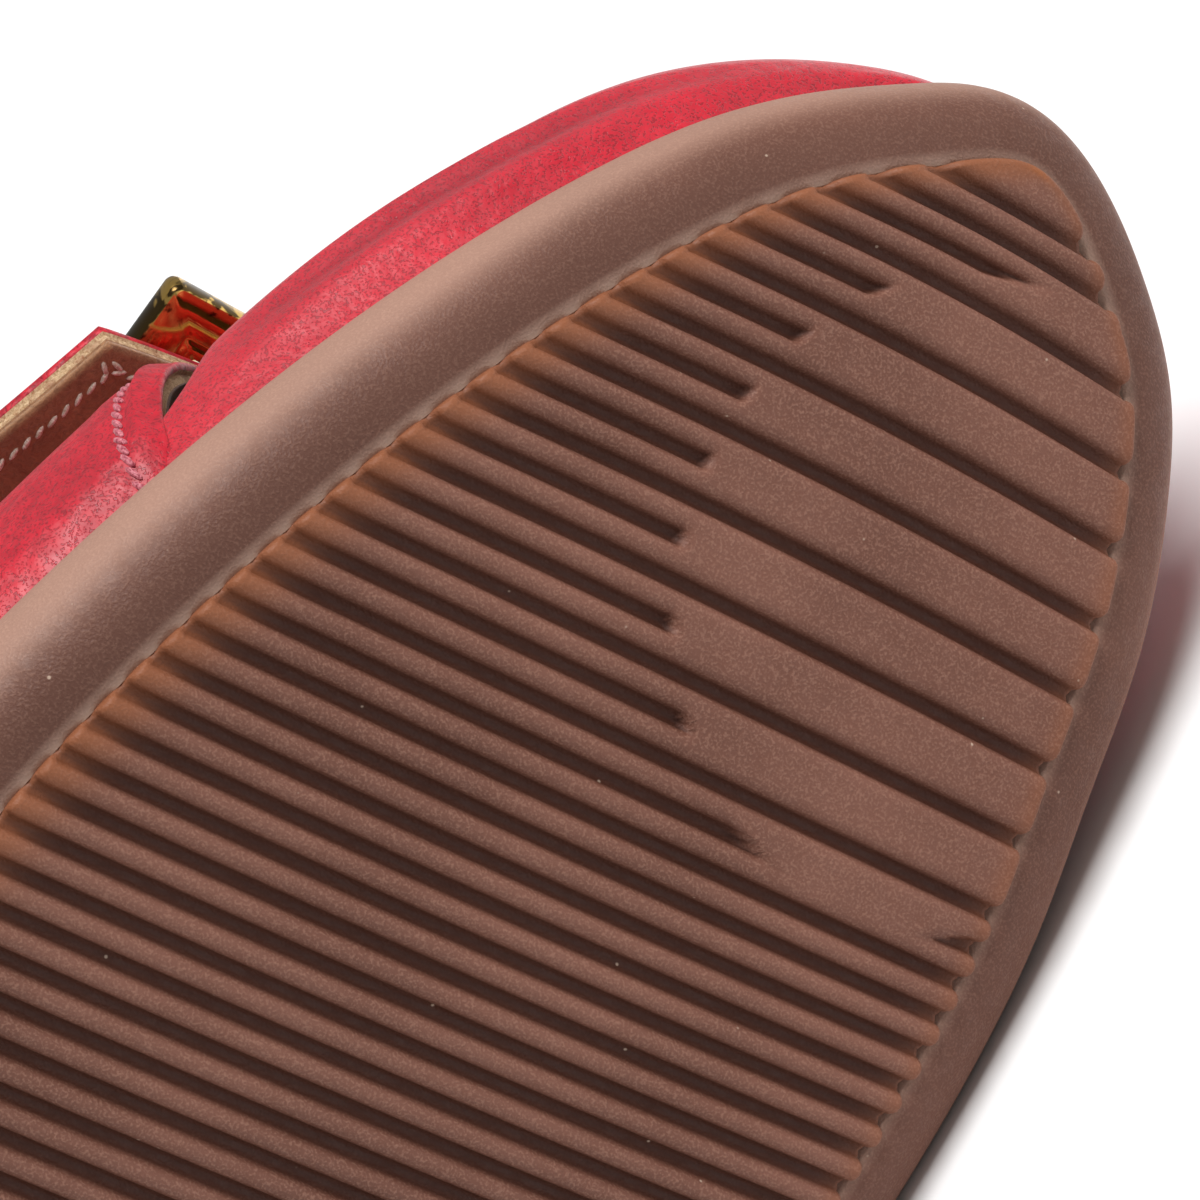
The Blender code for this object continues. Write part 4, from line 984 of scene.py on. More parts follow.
# A rim's rows from the outer to the inner face: share of the wall, bulge as a share of the wall, material
RimRow = namedtuple("RimRow", "down bulge zone")
FOLDED_RIM = [RimRow(*row) for row in (
    (0.0, 0.0, 0), (0.08, 0.16, 0), (0.20, 0.24, 0), (0.34, 0.22, 0), (0.44, 0.12, 0), (0.47, -0.10, 1),
    (0.52, -0.06, 1), (0.72, 0.0, 1), (0.90, -0.05, 1), (1.0, 0.0, 2),
)]
CUT_RIM = [RimRow(*row) for row in (
    (0.0, 0.0, 0), (0.12, 0.07, 0), (0.40, 0.07, 0), (0.46, -0.10, 1), (0.54, 0.02, 1), (0.70, -0.02, 1),
    (0.74, -0.10, 2), (0.86, 0.02, 2), (1.0, 0.0, 2),
)]
FLAT_RIM = [RimRow(0.0, 0.0, 0), RimRow(1.0, 0.0, 0)]


def leather_shell(name, grids, loops, materials, relief, crease_shade=None):
    """A sheet with thickness from outer and inner grids, with rims along its free edges.

    grids are (outer, inner, flip), each of shape columns x rows x 3. loops are (point indices, closed, inside
    indices, rim rows). relief gives the outward lift of each outer point, and the last one its painted crease shade.
    Returns the piece and each loop's outer line with its outward directions.
    """
    starts = np.cumsum([0] + [outer.shape[0] * outer.shape[1] for outer, _, _ in grids])
    outer = np.concatenate([g[0].reshape(-1, 3) for g in grids])
    inner = np.concatenate([g[1].reshape(-1, 3) for g in grids])
    quads = []
    for (sheet, _, flip), start in zip(grids, starts):
        part = grid_quads(*sheet.shape[:2], start)
        quads.append(part[:, ::-1] if flip else part)
    quads = np.vstack(quads)
    first, place = same_points(outer)
    normals = point_normals(outer[first], place[quads])[place]
    lines = [outer[index] for index, _, _, _ in loops]
    lift = relief(outer, lines)[first][place]
    lifted = outer + normals * lift[:, None]
    points = [lifted, inner]
    count = len(outer)
    faces = [quads, quads[:, ::-1] + count]
    zones = [np.zeros(len(quads)), np.full(len(quads), 2)]
    total = 2 * count
    edges = []
    for index, closed, inside, rim in loops:
        a, b = lifted[index], inner[index]
        out = outward_of(a, normals[index], closed, outer[inside])
        wall = np.linalg.norm(b - a, axis=1)[:, None]
        rows = [a + (b - a) * row.down + out * wall * row.bulge for row in rim]
        ring = np.stack(rows, axis=1)
        if closed:
            ring = np.concatenate([ring, ring[:1]])
        part = grid_quads(len(ring), len(rim), total)
        probe = ring.reshape(-1, 3)
        local = part - total
        facing = np.cross(probe[local[:, 2]] - probe[local[:, 0]], probe[local[:, 3]] - probe[local[:, 1]])
        if (facing * np.repeat(out[: len(ring) - 1], len(rim) - 1, axis=0)).sum() < 0:
            part = part[:, ::-1]
        points.append(probe)
        faces.append(part)
        zones.append(np.tile([row.zone for row in rim[1:]], len(ring) - 1))
        total += len(probe)
        edges.append((a, out, normals[index]))
    points, faces, first = weld(np.vstack(points), np.vstack(faces))
    depth = np.zeros(total)
    if crease_shade is not None:
        depth[:count] = crease_shade
    made = make_piece(name, points, faces, materials, np.concatenate(zones), {"crease_shade": depth[first]})
    return made, edges


# Dents in the leather, each with its depth and reach: edges that are rolled down, and lines that the sole or the
# stitches press in
Dent = namedtuple("Dent", "depth reach")
CUT_ROLL = Dent(0.35 * MM, 0.8 * MM)
FOLD_ROLL = Dent(0.75 * MM, 1.1 * MM)
STRAP_ROLL = Dent(0.35 * MM, 0.7 * MM)
FOOT_PRESS = Dent(0.25 * MM, 0.8 * MM)
FOLD_PRESS = Dent(0.46 * MM, 0.42 * MM)
STRAP_PRESS = Dent(0.20 * MM, 0.4 * MM)
# The fold's pad up to its stitches, and the puff behind them
PAD_HEIGHT = 0.24 * MM
PUFF_HEIGHT = 0.10 * MM
PUFF_BEHIND = 1.5 * MM
PUFF_REACH = 0.9 * MM


def rolled(far, dent):
    """Lift at a distance from an edge that is rolled down."""
    return -dent.depth * np.maximum(1 - far / dent.reach, 0) ** 2


def pressed(far, dent):
    """Lift at a distance from a line that is pressed in."""
    return -dent.depth * bell(far, dent.reach)


VAMP_COLUMNS = 120
VAMP_ROWS = 56
# The vamp's tuck under the band, and the shares of the arch's height over which it ends
TUCK = 7 * MM
TUCK_FROM = 0.04
TUCK_SPAN = 0.22
# The soft crease along the vamp's side: its place and reach as shares of the way to the crest, its depth, how much
# painted shade darkens it, how far it takes to end at the toe and at the band, and how far under the band it goes
TROUGH_TURN = 0.105
TROUGH_REACH = 0.032
TROUGH_DEPTH = 0.55 * MM
TROUGH_SHADE = 0.5
TROUGH_FADE = 16 * MM
TROUGH_HIDDEN = 4 * MM
# The swell over and under the crease as shares of its depth, with its distance and reach as shares of the crease's
RIDGE_OVER = 0.5
RIDGE_UNDER = 0.45
RIDGE_OFF = 1.35
RIDGE_REACH = 0.8
# How the crease's depth changes along the shoe: the share, and both wave lengths over two pi
CREASE_CHANGE = 0.35
CREASE_WAVES = (9 * MM, 23 * MM)
# How far the toe box is filled out past the frame's, from which distance behind the tip, over which, and from which
# share of the way to the crest it is whole
TOE_FILL = 1.5 * MM
FILL_FROM = 55 * MM
FILL_SPAN = 30 * MM
FILL_TURN = 0.10


def soft_rows(count):
    """Shares from 0 to 1, closer together towards both ends."""
    return (1 - np.cos(np.linspace(0, pi, count))) / 2


def make_vamp(leather, raw, lining):
    """The vamp over the toes, tucked under the band at its rear, with a soft crease along its side that painted shade
    darkens.
    """
    turn = soft_rows(VAMP_ROWS)[None, :]
    up = rise_at(BAND_REAR_Y + BAND_WIDTH, turn)
    rear = slot_edge(up, "vamp_edge") - TUCK * (1 - ease((up - TUCK_FROM) / TUCK_SPAN))
    along = 1 - np.cos(np.linspace(0, 1, VAMP_COLUMNS) * pi / 2)[:, None]
    y = TOE_Y + (rear - TOE_Y) * along
    turn = np.broadcast_to(turn, y.shape)
    grids = [(arch_point(y, side, turn, 0.0), arch_point(y, side, turn, VAMP_WALL), side == MEDIAL)
             for side in (LATERAL, MEDIAL)]
    size = VAMP_COLUMNS * VAMP_ROWS
    rear_row = (VAMP_COLUMNS - 1) * VAMP_ROWS + np.arange(VAMP_ROWS)
    loop = np.concatenate([rear_row, size + rear_row[::-1][1:]])
    foot = np.arange(VAMP_COLUMNS) * VAMP_ROWS
    foot_loop = np.concatenate([foot[::-1], size + foot[1:]])
    turns = np.concatenate([turn.ravel()] * 2)
    places = np.concatenate([y.ravel()] * 2)
    from_hidden_end = places - BAND_REAR_Y - BAND_WIDTH + TROUGH_HIDDEN
    ends = ease((TOE_Y - places) / TROUGH_FADE) * ease(from_hidden_end / TROUGH_FADE)
    off = (turns - TROUGH_TURN) / TROUGH_REACH

    def relief(points, lines):
        ridges = RIDGE_OVER * bell(off - RIDGE_OFF, RIDGE_REACH) + RIDGE_UNDER * bell(off + RIDGE_OFF, RIDGE_REACH)
        short, long = CREASE_WAVES
        wave = 1 + CREASE_CHANGE * np.sin(places / short) * np.sin(places / long + 1)
        crease = TROUGH_DEPTH * (ridges - bell(off)) * wave * ends
        fill = TOE_FILL * ease((places - TOE_Y + FILL_FROM) / FILL_SPAN) * ease(turns / FILL_TURN)
        rear_edge, foot_edge = (nearest(points, line) for line in lines)
        return crease + rolled(rear_edge, CUT_ROLL) + pressed(foot_edge, FOOT_PRESS) + fill

    loops = [(loop, False, loop - VAMP_ROWS, CUT_RIM), (foot_loop, False, foot_loop + 1, FLAT_RIM)]
    # Painted shade along the crease, for the leather's colour
    crease_shade = TROUGH_SHADE * bell(off) * ends
    return leather_shell("vamp", grids, loops, [leather, raw, lining], relief, crease_shade)[0]


BAND_COLUMNS = 26
THROAT_COLUMNS = 34
REAR_COLUMNS = 112
QUARTER_ROWS = 56
# Exponent by which the columns lie closer at the throat's front
THROAT_BUNCH = 1.6
# Puckers over the sole: their height, the middle and reach of their band over it, both wave lengths over two pi, and
# how far the longer wave bends the shorter
PUCKER_HEIGHT = 0.10 * MM
PUCKER_BAND = 3 * MM
PUCKER_WAVES = (1.9 * MM, 4 * MM)
PUCKER_BEND = 3


def make_quarter(sizes, leather, raw, lining):
    """Quarter and band in one: folded and stitched along the band's front edge and round the collar."""
    shares = soft_rows(QUARTER_ROWS)[None, :]
    up = rise_at(BAND_REAR_Y + BAND_WIDTH, shares)
    front = slot_edge(up, "band_edge")
    across = np.linspace(0, 1, BAND_COLUMNS)[:, None]
    band_y = front * (1 - across) + BAND_REAR_Y * across
    throat = BAND_REAR_Y - THROAT_DEPTH * np.linspace(0, 1, THROAT_COLUMNS)[1:] ** THROAT_BUNCH
    rear = HEEL_Y + (throat[-1] - HEEL_Y) * np.cos(np.linspace(0, pi / 2, REAR_COLUMNS))[1:]
    behind = np.concatenate([throat, rear])[:, None]
    y = np.vstack([band_y, np.broadcast_to(behind, (len(behind), QUARTER_ROWS))])
    turn = np.vstack([np.broadcast_to(shares, band_y.shape), collar_turn(behind) * shares])
    lift = quarter_offset(y, np.vstack([np.broadcast_to(up, band_y.shape), rise_at(behind, turn[BAND_COLUMNS:])]))
    grids = [(arch_point(y, side, turn, -lift), arch_point(y, side, turn, QUARTER_WALL - lift), side == MEDIAL)
             for side in (LATERAL, MEDIAL)]
    columns = len(y)
    size = columns * QUARTER_ROWS
    front_row = np.arange(QUARTER_ROWS)
    front_loop = np.concatenate([front_row, size + front_row[::-1][1:]])
    top = np.arange(BAND_COLUMNS - 1, columns) * QUARTER_ROWS + QUARTER_ROWS - 1
    collar_loop = np.concatenate([top, size + top[::-1][1:-1]])
    foot = np.arange(columns) * QUARTER_ROWS
    foot_loop = np.concatenate([foot, size + foot[::-1][1:]])
    width = sizes.fold_width

    def fold(far):
        """Lift near a folded edge: rolled down at the edge, padded behind it, pressed in under the stitches."""
        pad = PAD_HEIGHT * np.sin(pi * np.clip(far / width, 0, 1)) ** 2
        puff = PUFF_HEIGHT * bell(far - width - PUFF_BEHIND, PUFF_REACH)
        return rolled(far, FOLD_ROLL) + pad + pressed(far - width, FOLD_PRESS) + puff

    def relief(points, lines):
        front_edge, collar_edge, low = (nearest(points, line) for line in lines)
        short, long = PUCKER_WAVES
        waves = PUCKER_HEIGHT * np.sin(points[:, 1] / short + PUCKER_BEND * np.sin(points[:, 2] / long))
        pucker = waves * bell(low - PUCKER_BAND, PUCKER_BAND)
        return fold(front_edge) + fold(collar_edge) + pressed(low, FOOT_PRESS) + pucker

    loops = [
        (front_loop, False, front_loop + QUARTER_ROWS, FOLDED_RIM),
        (collar_loop, True, collar_loop - 1, FOLDED_RIM),
        (foot_loop, False, foot_loop + 1, FLAT_RIM),
    ]
    return leather_shell("quarter", grids, loops, [leather, raw, lining], relief)


INSOLE_ROWS = 170
INSOLE_COLUMNS = 42
# Section of the insole's edge from its foot: out and up as shares of its thickness
INSOLE_EDGE = ((0.0, 0.02), (0.0, 0.45), (-0.10, 0.72), (-0.28, 0.92), (-0.56, 1.0))
# The insole's dish: its depth, how far from the edge and from which width it is whole
DISH_DEPTH = 0.5 * MM
DISH_REACH = 9 * MM
DISH_WIDTH = 20 * MM


def make_insole(leather):
    """Sock sheet of soft leather: a low dish with a rounded edge."""
    y = stations(INSOLE_ROWS)
    wall = max(VAMP_WALL, QUARTER_WALL - STEP_AT_FOOT * QUARTER_STEP)
    reach = LIP_OUT + LIP_RADIUS - UPPER_INSET - wall - GAP
    base = sole_height(y) + GAP
    ends = {side: [sole_point(y, side, reach + out * INSOLE_THICKNESS, base + up * INSOLE_THICKNESS)
                   for out, up in INSOLE_EDGE] for side in (LATERAL, MEDIAL)}
    c = np.linspace(0, 1, INSOLE_COLUMNS)[1:-1]
    top = between(ends[MEDIAL][-1], ends[LATERAL][-1], c)
    width = np.linalg.norm(ends[LATERAL][-1] - ends[MEDIAL][-1], axis=1)[:, None]
    top[..., 2] -= DISH_DEPTH * from_sides(c, width, DISH_REACH) * ease(width / DISH_WIDTH)
    grid = np.concatenate([np.stack(ends[MEDIAL], axis=1), top, np.stack(ends[LATERAL][::-1], axis=1)], axis=1)
    points, quads, _ = weld(grid.reshape(-1, 3), ring_quads(*grid.shape[:2]))
    return make_piece("insole_sheet", points, quads, [leather])


STRAP_COLUMNS = 120
STRAP_ROWS = 40
# Samples of the line under the strap: on the medial side, on the lateral side and on its free end
STRAP_SAMPLES = (60, 16, 40)
# The strap's crinkles: their height, how far from the edge they are whole, both wave lengths over two pi, and how far
# the longer wave bends the shorter
CRINKLE_HEIGHT = 0.09 * MM
CRINKLE_FROM = 2 * MM
CRINKLE_WAVES = (1.3 * MM, 2.7 * MM)
CRINKLE_BEND = 2.2


def strap_under(w, steps):
    """Underside of the strap along one line across the shoe, and each point's share of the strap."""
    y = BAND_REAR_Y + BAND_WIDTH - w * STRAP_WIDTH
    medial_samples, lateral_samples, free_samples = STRAP_SAMPLES
    medial = np.linspace(STRAP_MEDIAL[0], 1.0, medial_samples)
    lateral = np.linspace(1.0, STRAP_LATERAL[-1], lateral_samples)[1:]
    parts = []
    for side, turns in ((MEDIAL, medial), (LATERAL, lateral)):
        parts.append(arch_point(y, side, turns, -quarter_offset(y, rise_at(y, turns)) - GAP))
    line = np.vstack(parts)
    lead = unit(line[-1] - arch_point(y, LATERAL, STRAP_LATERAL[-2], -quarter_offset(y, 1.0) - GAP))
    x, _, nx, _ = edge(BAND_REAR_Y + BAND_WIDTH, LATERAL)
    top = parts[0][-1]
    end = np.array([x + RIM_WIDTH * nx + STRAP_OVERHANG + STRAP_END_SKEW * w * STRAP_WIDTH, y, top[2] - STRAP_DROP])
    start = line[-1]
    bend = start + lead * np.linalg.norm(end - start) * STRAP_BEND
    t = np.linspace(0, 1, free_samples)[1:, None]
    free = start * (1 - t) ** 2 + bend * 2 * t * (1 - t) + end * t * t
    turns = [*STRAP_MEDIAL, 1.0]
    number = len(STRAP_MEDIAL) + len(STRAP_LATERAL) - 1
    last = number + STRAP_FREE_STEPS
    share = np.concatenate([
        np.interp(medial, turns, range(len(turns))),
        len(STRAP_MEDIAL) + np.interp(lateral, STRAP_LATERAL[::-1], range(len(STRAP_LATERAL))[::-1]),
        number + t[:, 0] * STRAP_FREE_STEPS,
    ]) / last
    line = np.vstack([line, free])
    along = np.concatenate([[0.0], np.cumsum(np.linalg.norm(np.diff(line, axis=0), axis=1))])
    even = np.linspace(0, along[-1], steps)
    return np.stack([np.interp(even, along, line[:, i]) for i in range(3)], axis=1), np.interp(even, along, share)


def make_strap(sizes, leather, raw, lining):
    """Closing strap: crinkled leather over a pale core and a tan lining, all cut flush and stitched near the edge."""
    w = np.linspace(0, 1, STRAP_ROWS)
    lines = [strap_under(value, STRAP_COLUMNS) for value in w]
    under = np.array([line for line, _ in lines])
    share = np.array([value for _, value in lines])
    normal = unit(np.cross(np.gradient(under, axis=0), np.gradient(under, axis=1)))
    normal *= np.sign(normal[..., 2:3])
    thickness = STRAP_ROOT_THICKNESS + (STRAP_THICKNESS - STRAP_ROOT_THICKNESS) * ease(share / STRAP_WHOLE)
    over = under + normal * thickness[..., None]
    rows, columns = under.shape[:2]
    rim = list(range(columns))
    rim += [i * columns + columns - 1 for i in range(1, rows)]
    rim += [(rows - 1) * columns + j for j in range(columns - 2, -1, -1)]
    rim += [i * columns for i in range(rows - 2, 0, -1)]
    rim = np.array(rim)
    row, column = np.divmod(rim, columns)
    inside = np.clip(row, 1, rows - 2) * columns + np.clip(column, 1, columns - 2)
    flip = bool(np.cross(over[1, 0] - over[0, 0], over[0, 1] - over[0, 0]) @ normal[0, 0] > 0)

    def relief(points, lines):
        far = nearest(points, lines[0])
        press = pressed(far - sizes.edge_stitch_inset, STRAP_PRESS)
        short, long = CRINKLE_WAVES
        crinkle = CRINKLE_HEIGHT * np.sin(points[:, 0] / short + CRINKLE_BEND * np.sin(points[:, 1] / long))
        return rolled(far, STRAP_ROLL) + press + crinkle * ease(far / CRINKLE_FROM)

    return leather_shell("closing_strap", [(over, under, flip)], [(rim, True, inside, CUT_RIM)],
                         [leather, raw, lining], relief)


def buckle_axes():
    """Middle, axes and size of the CAD buckle: along its short side, along its long side, and up from its back."""
    points = np.array([vertex.co for vertex in frame["nodes"]["buckle"].data.vertices])
    points = np.unique(np.round(points, 6), axis=0)
    _, axes = np.linalg.eigh(np.cov((points - points.mean(axis=0)).T))
    thin, short, long = axes.T
    back = np.array(LYING.to_3x3() @ Vector((0, 0, 1)))
    thin = thin * np.sign(thin @ back)
    long = long * np.sign(long[1])
    short = np.cross(long, thin)
    spans = [points @ axis for axis in (short, long, thin)]
    middle = sum(axis * (span.min() + span.max()) / 2 for axis, span in zip((short, long, thin), spans))
    size = [float(span.max() - span.min()) for span in spans]
    return middle, (short, long, thin), size


# The buckle's section from the outer edge of its back round its face to the inner edge: distance from the outer edge
# as a share of the bar's width, height as a share of the thickness
BUCKLE_SECTION = (
    (0.06, 0.0), (0.0, 0.09), (0.0, 0.62), (0.03, 0.80), (0.10, 0.93), (0.22, 1.0), (0.55, 1.0), (0.80, 0.97),
    (0.94, 0.88), (1.0, 0.72), (1.0, 0.12), (0.95, 0.0), (0.74, 0.0), (0.71, 0.05), (0.66, 0.05), (0.63, 0.0),
)
BUCKLE_BAR = 4.6 * MM
BUCKLE_CORNER = 0.9 * MM
# The least inner corner as a share of the outer one, steps round a corner, and how much of the bar's width is its side
LEAST_CORNER = 0.35
CORNER_STEPS = 8
BUCKLE_SIDE = 0.05


def make_buckle(metal):
    """Cast frame with a softly domed face and a fine line on its back."""
    middle, axes, (length, width, thickness) = buckle_axes()
    rings = []
    for inward, up in BUCKLE_SECTION:
        inset = inward * BUCKLE_BAR
        corner = max(BUCKLE_CORNER - inset, LEAST_CORNER * BUCKLE_CORNER)
        ring = []
        for quarter, (sx, sy) in enumerate(((1, 1), (-1, 1), (-1, -1), (1, -1))):
            for step in range(CORNER_STEPS + 1):
                angle = (quarter + step / CORNER_STEPS) * pi / 2
                ring.append((
                    sx * (length / 2 - inset - corner) + corner * cos(angle),
                    sy * (width / 2 - inset - corner) + corner * sin(angle),
                    (up - 0.5) * thickness,
                ))
        rings.append(ring)
    grid = np.array(rings)
    rows, columns = grid.shape[:2]
    world = middle + grid.reshape(-1, 3) @ np.array(axes)
    faces = []
    for i in range(rows):
        for j in range(columns):
            k, n = (i + 1) % rows, (j + 1) % columns
            faces.append((i * columns + j, k * columns + j, k * columns + n, i * columns + n))
    mesh = bpy.data.meshes.new("buckle_frame")
    mesh.from_pydata(world.tolist(), [], faces)
    work = bmesh.new()
    work.from_mesh(mesh)
    bmesh.ops.recalc_face_normals(work, faces=work.faces)
    work.to_mesh(mesh)
    work.free()
    side = mesh.attributes.new("side", "FLOAT", "POINT")
    side.data.foreach_set("value", np.repeat([float(inward < BUCKLE_SIDE) for inward, _ in BUCKLE_SECTION], columns))
    mesh.materials.append(metal)
    mesh.shade_smooth()
    mesh.set_sharp_from_angle(angle=radians(50))
    return linked("buckle_frame", mesh)


def stitch_tree():
    """Geometry Nodes that lay a row of stitches along a line, each turned to the surface's outward direction."""
    tree = bpy.data.node_groups.new("stitch_row", "GeometryNodeTree")
    wanted = (
        ("Geometry", "NodeSocketGeometry"), ("Pitch", "NodeSocketFloat"), ("Length", "NodeSocketFloat"),
        ("Radius", "NodeSocketFloat"), ("Slant", "NodeSocketFloat"), ("Looseness", "NodeSocketFloat"),
        ("Seed", "NodeSocketInt"), ("Thread", "NodeSocketMaterial"),
    )
    for label, kind in wanted:
        tree.interface.new_socket(label, in_out="INPUT", socket_type=kind)
    tree.interface.new_socket("Geometry", in_out="OUTPUT", socket_type="NodeSocketGeometry")
    given = add(tree, "NodeGroupInput").outputs
    line = add(tree, "GeometryNodeMeshToCurve", {"Mesh": given["Geometry"]}).outputs["Curve"]
    dots = add(tree, "GeometryNodeResampleCurve", {"Curve": line, "Length": given["Pitch"]}, mode="LENGTH")
    half = add(tree, "ShaderNodeMath", {0: given["Length"], 1: 0.5}, operation="MULTIPLY").outputs[0]
    size = add(tree, "ShaderNodeCombineXYZ", {"X": half, "Y": given["Radius"], "Z": given["Radius"]}).outputs[0]
    ball = add(tree, "GeometryNodeMeshUVSphere", {"Segments": 8, "Rings": 6, "Radius": 1.0}).outputs["Mesh"]
    stitch = add(tree, "GeometryNodeTransform", {"Geometry": ball, "Scale": size}).outputs["Geometry"]
    stitch = add(tree, "GeometryNodeSetShadeSmooth", {"Geometry": stitch}).outputs["Geometry"]
    tangent = add(tree, "GeometryNodeInputTangent").outputs["Tangent"]
    turned = add(tree, "FunctionNodeAlignRotationToVector", {"Vector": tangent}, axis="X").outputs["Rotation"]
    outward = add(tree, "GeometryNodeInputNamedAttribute", {"Name": "outward"}, data_type="FLOAT_VECTOR")
    turned = add(tree, "FunctionNodeAlignRotationToVector", {
        "Rotation": turned, "Vector": outward.outputs["Attribute"]}, axis="Z", pivot_axis="X").outputs["Rotation"]
    loose = add(tree, "FunctionNodeRandomValue", {2: -1.0, 3: 1.0, "Seed": given["Seed"]}, data_type="FLOAT")
    sway = add(tree, "ShaderNodeMath", {0: loose.outputs[1], 1: given["Looseness"], 2: given["Slant"]},
               operation="MULTIPLY_ADD").outputs[0]
    spin = add(tree, "ShaderNodeCombineXYZ", {"Z": sway}).outputs[0]
    spin = add(tree, "FunctionNodeEulerToRotation", {"Euler": spin}).outputs["Rotation"]
    turned = add(tree, "FunctionNodeRotateRotation", {"Rotation": turned, "Rotate By": spin},
                 rotation_space="LOCAL").outputs["Rotation"]
    row = add(tree, "GeometryNodeInstanceOnPoints", {
        "Points": dots.outputs["Curve"], "Instance": stitch, "Rotation": turned}).outputs["Instances"]
    row = add(tree, "GeometryNodeRealizeInstances", {"Geometry": row}).outputs["Geometry"]
    row = add(tree, "GeometryNodeSetMaterial", {"Geometry": row, "Material": given["Thread"]}).outputs["Geometry"]
    add(tree, "NodeGroupOutput", {"Geometry": row})
    return tree


# How far off a surface its search starts, so that it finds the right face
SEARCH_FROM = 0.8 * MM


def on_surface(surface, line, outward, inset, side):
    """A line moved in from an edge and laid on a surface in the lying shoe: places and outward directions."""
    tree = BVHTree.FromObject(surface, bpy.context.evaluated_depsgraph_get())
    places = []
    facing = []
    start = lay(line - outward * inset + side * SEARCH_FROM)
    for point in start:
        place, normal, _, _ = tree.find_nearest(Vector(point))
        places.append(tuple(place))
        facing.append(tuple(normal))
    return places, facing


def stitch_row(name, tree, places, facing, values, closed=False):
    """A row of stitches as a plain mesh."""
    mesh = bpy.data.meshes.new(name)
    pairs = [(i, i + 1) for i in range(len(places) - 1)]
    if closed:
        pairs.append((len(places) - 1, 0))
    mesh.from_pydata(places, pairs, [])
    layer = mesh.attributes.new("outward", "FLOAT_VECTOR", "POINT")
    layer.data.foreach_set("vector", np.array(facing, dtype=np.float32).ravel())
    line = linked(name + "_line", mesh)
    modifier = line.modifiers.new("stitches", "NODES")
    modifier.node_group = tree
    for item in tree.interface.items_tree:
        if item.in_out == "INPUT" and item.name in values:
            modifier[item.identifier] = values[item.name]
    graph = bpy.context.evaluated_depsgraph_get()
    plain = bpy.data.meshes.new_from_object(line.evaluated_get(graph))
    plain.name = name
    bpy.data.objects.remove(line, do_unlink=True)
    return linked(name, plain)


# What one operator leaves for the next: finished pieces and their edge lines
MADE = {}


class SHOE_OT_sole(bpy.types.Operator):
    """Make the ribbed rubber sole"""

    bl_idname = "shoe.sole"
    bl_label = "Rubber sole"

    def execute(self, context):
        sizes, look = context.scene.shoe_sizes, context.scene.shoe_colours
        rubber = gum_rubber(look)
        for made in (make_tread(sizes, rubber), make_sole_body(rubber)):
            finish_piece(made, "gum_rubber", "outsole")
        return {"FINISHED"}


class SHOE_OT_upper(bpy.types.Operator):
    """Make the vamp, the quarter with its band, and their linings"""

    bl_idname = "shoe.upper"
    bl_label = "Leather upper"

    def execute(self, context):
        sizes, look = context.scene.shoe_sizes, context.scene.shoe_colours
        smooth = red_leather("calf_leather_smooth", look, pore=0.20 * MM, pebble=0.8 * MM, softness=0.6, sheen=0.30)
        milled = red_leather("calf_leather_milled", look, pore=0.23 * MM, pebble=1.0 * MM, softness=1.0, sheen=0.08)
        raw = cut_edge(look)
        lining = napped_lining("brushed_cotton_lining", "#915f41", "#593521")
        vamp = make_vamp(smooth, raw, lining)
        quarter, edges = make_quarter(sizes, milled, raw, lining)
        for made in (vamp, quarter):
            finish_piece(made, "red_leather", "upper")
        MADE["quarter"] = quarter, edges
        return {"FINISHED"}


class SHOE_OT_insole(bpy.types.Operator):
    """Make the insole's leather sheet"""

    bl_idname = "shoe.insole"
    bl_label = "Insole"

    def execute(self, context):
        sheet = napped_lining("pigskin_sock_suede", "#b58b66", "#8d6848")
        finish_piece(make_insole(sheet), "insole_sheet", "insole")
        return {"FINISHED"}


class SHOE_OT_strap(bpy.types.Operator):
    """Make the layered closing strap"""

    bl_idname = "shoe.strap"
    bl_label = "Closing strap"

    def execute(self, context):
        sizes, look = context.scene.shoe_sizes, context.scene.shoe_colours
        leather = red_leather(
            "calf_leather_crinkled", look, pore=0.28 * MM, pebble=1.1 * MM, softness=1.8, sheen=0.04)
        strap, edges = make_strap(sizes, leather, cut_edge(look),
                                  napped_lining("strap_lining_suede", "#b98a63", "#7d563c"))
        finish_piece(strap, "strap_leather", "strap")
        MADE["strap"] = strap, edges
        return {"FINISHED"}


class SHOE_OT_buckle(bpy.types.Operator):
    """Make the gold frame buckle"""

    bl_idname = "shoe.buckle"
    bl_label = "Buckle"

    def execute(self, context):
        finish_piece(make_buckle(polished_gold(context.scene.shoe_colours)), "gold_metal", "buckle")
        return {"FINISHED"}


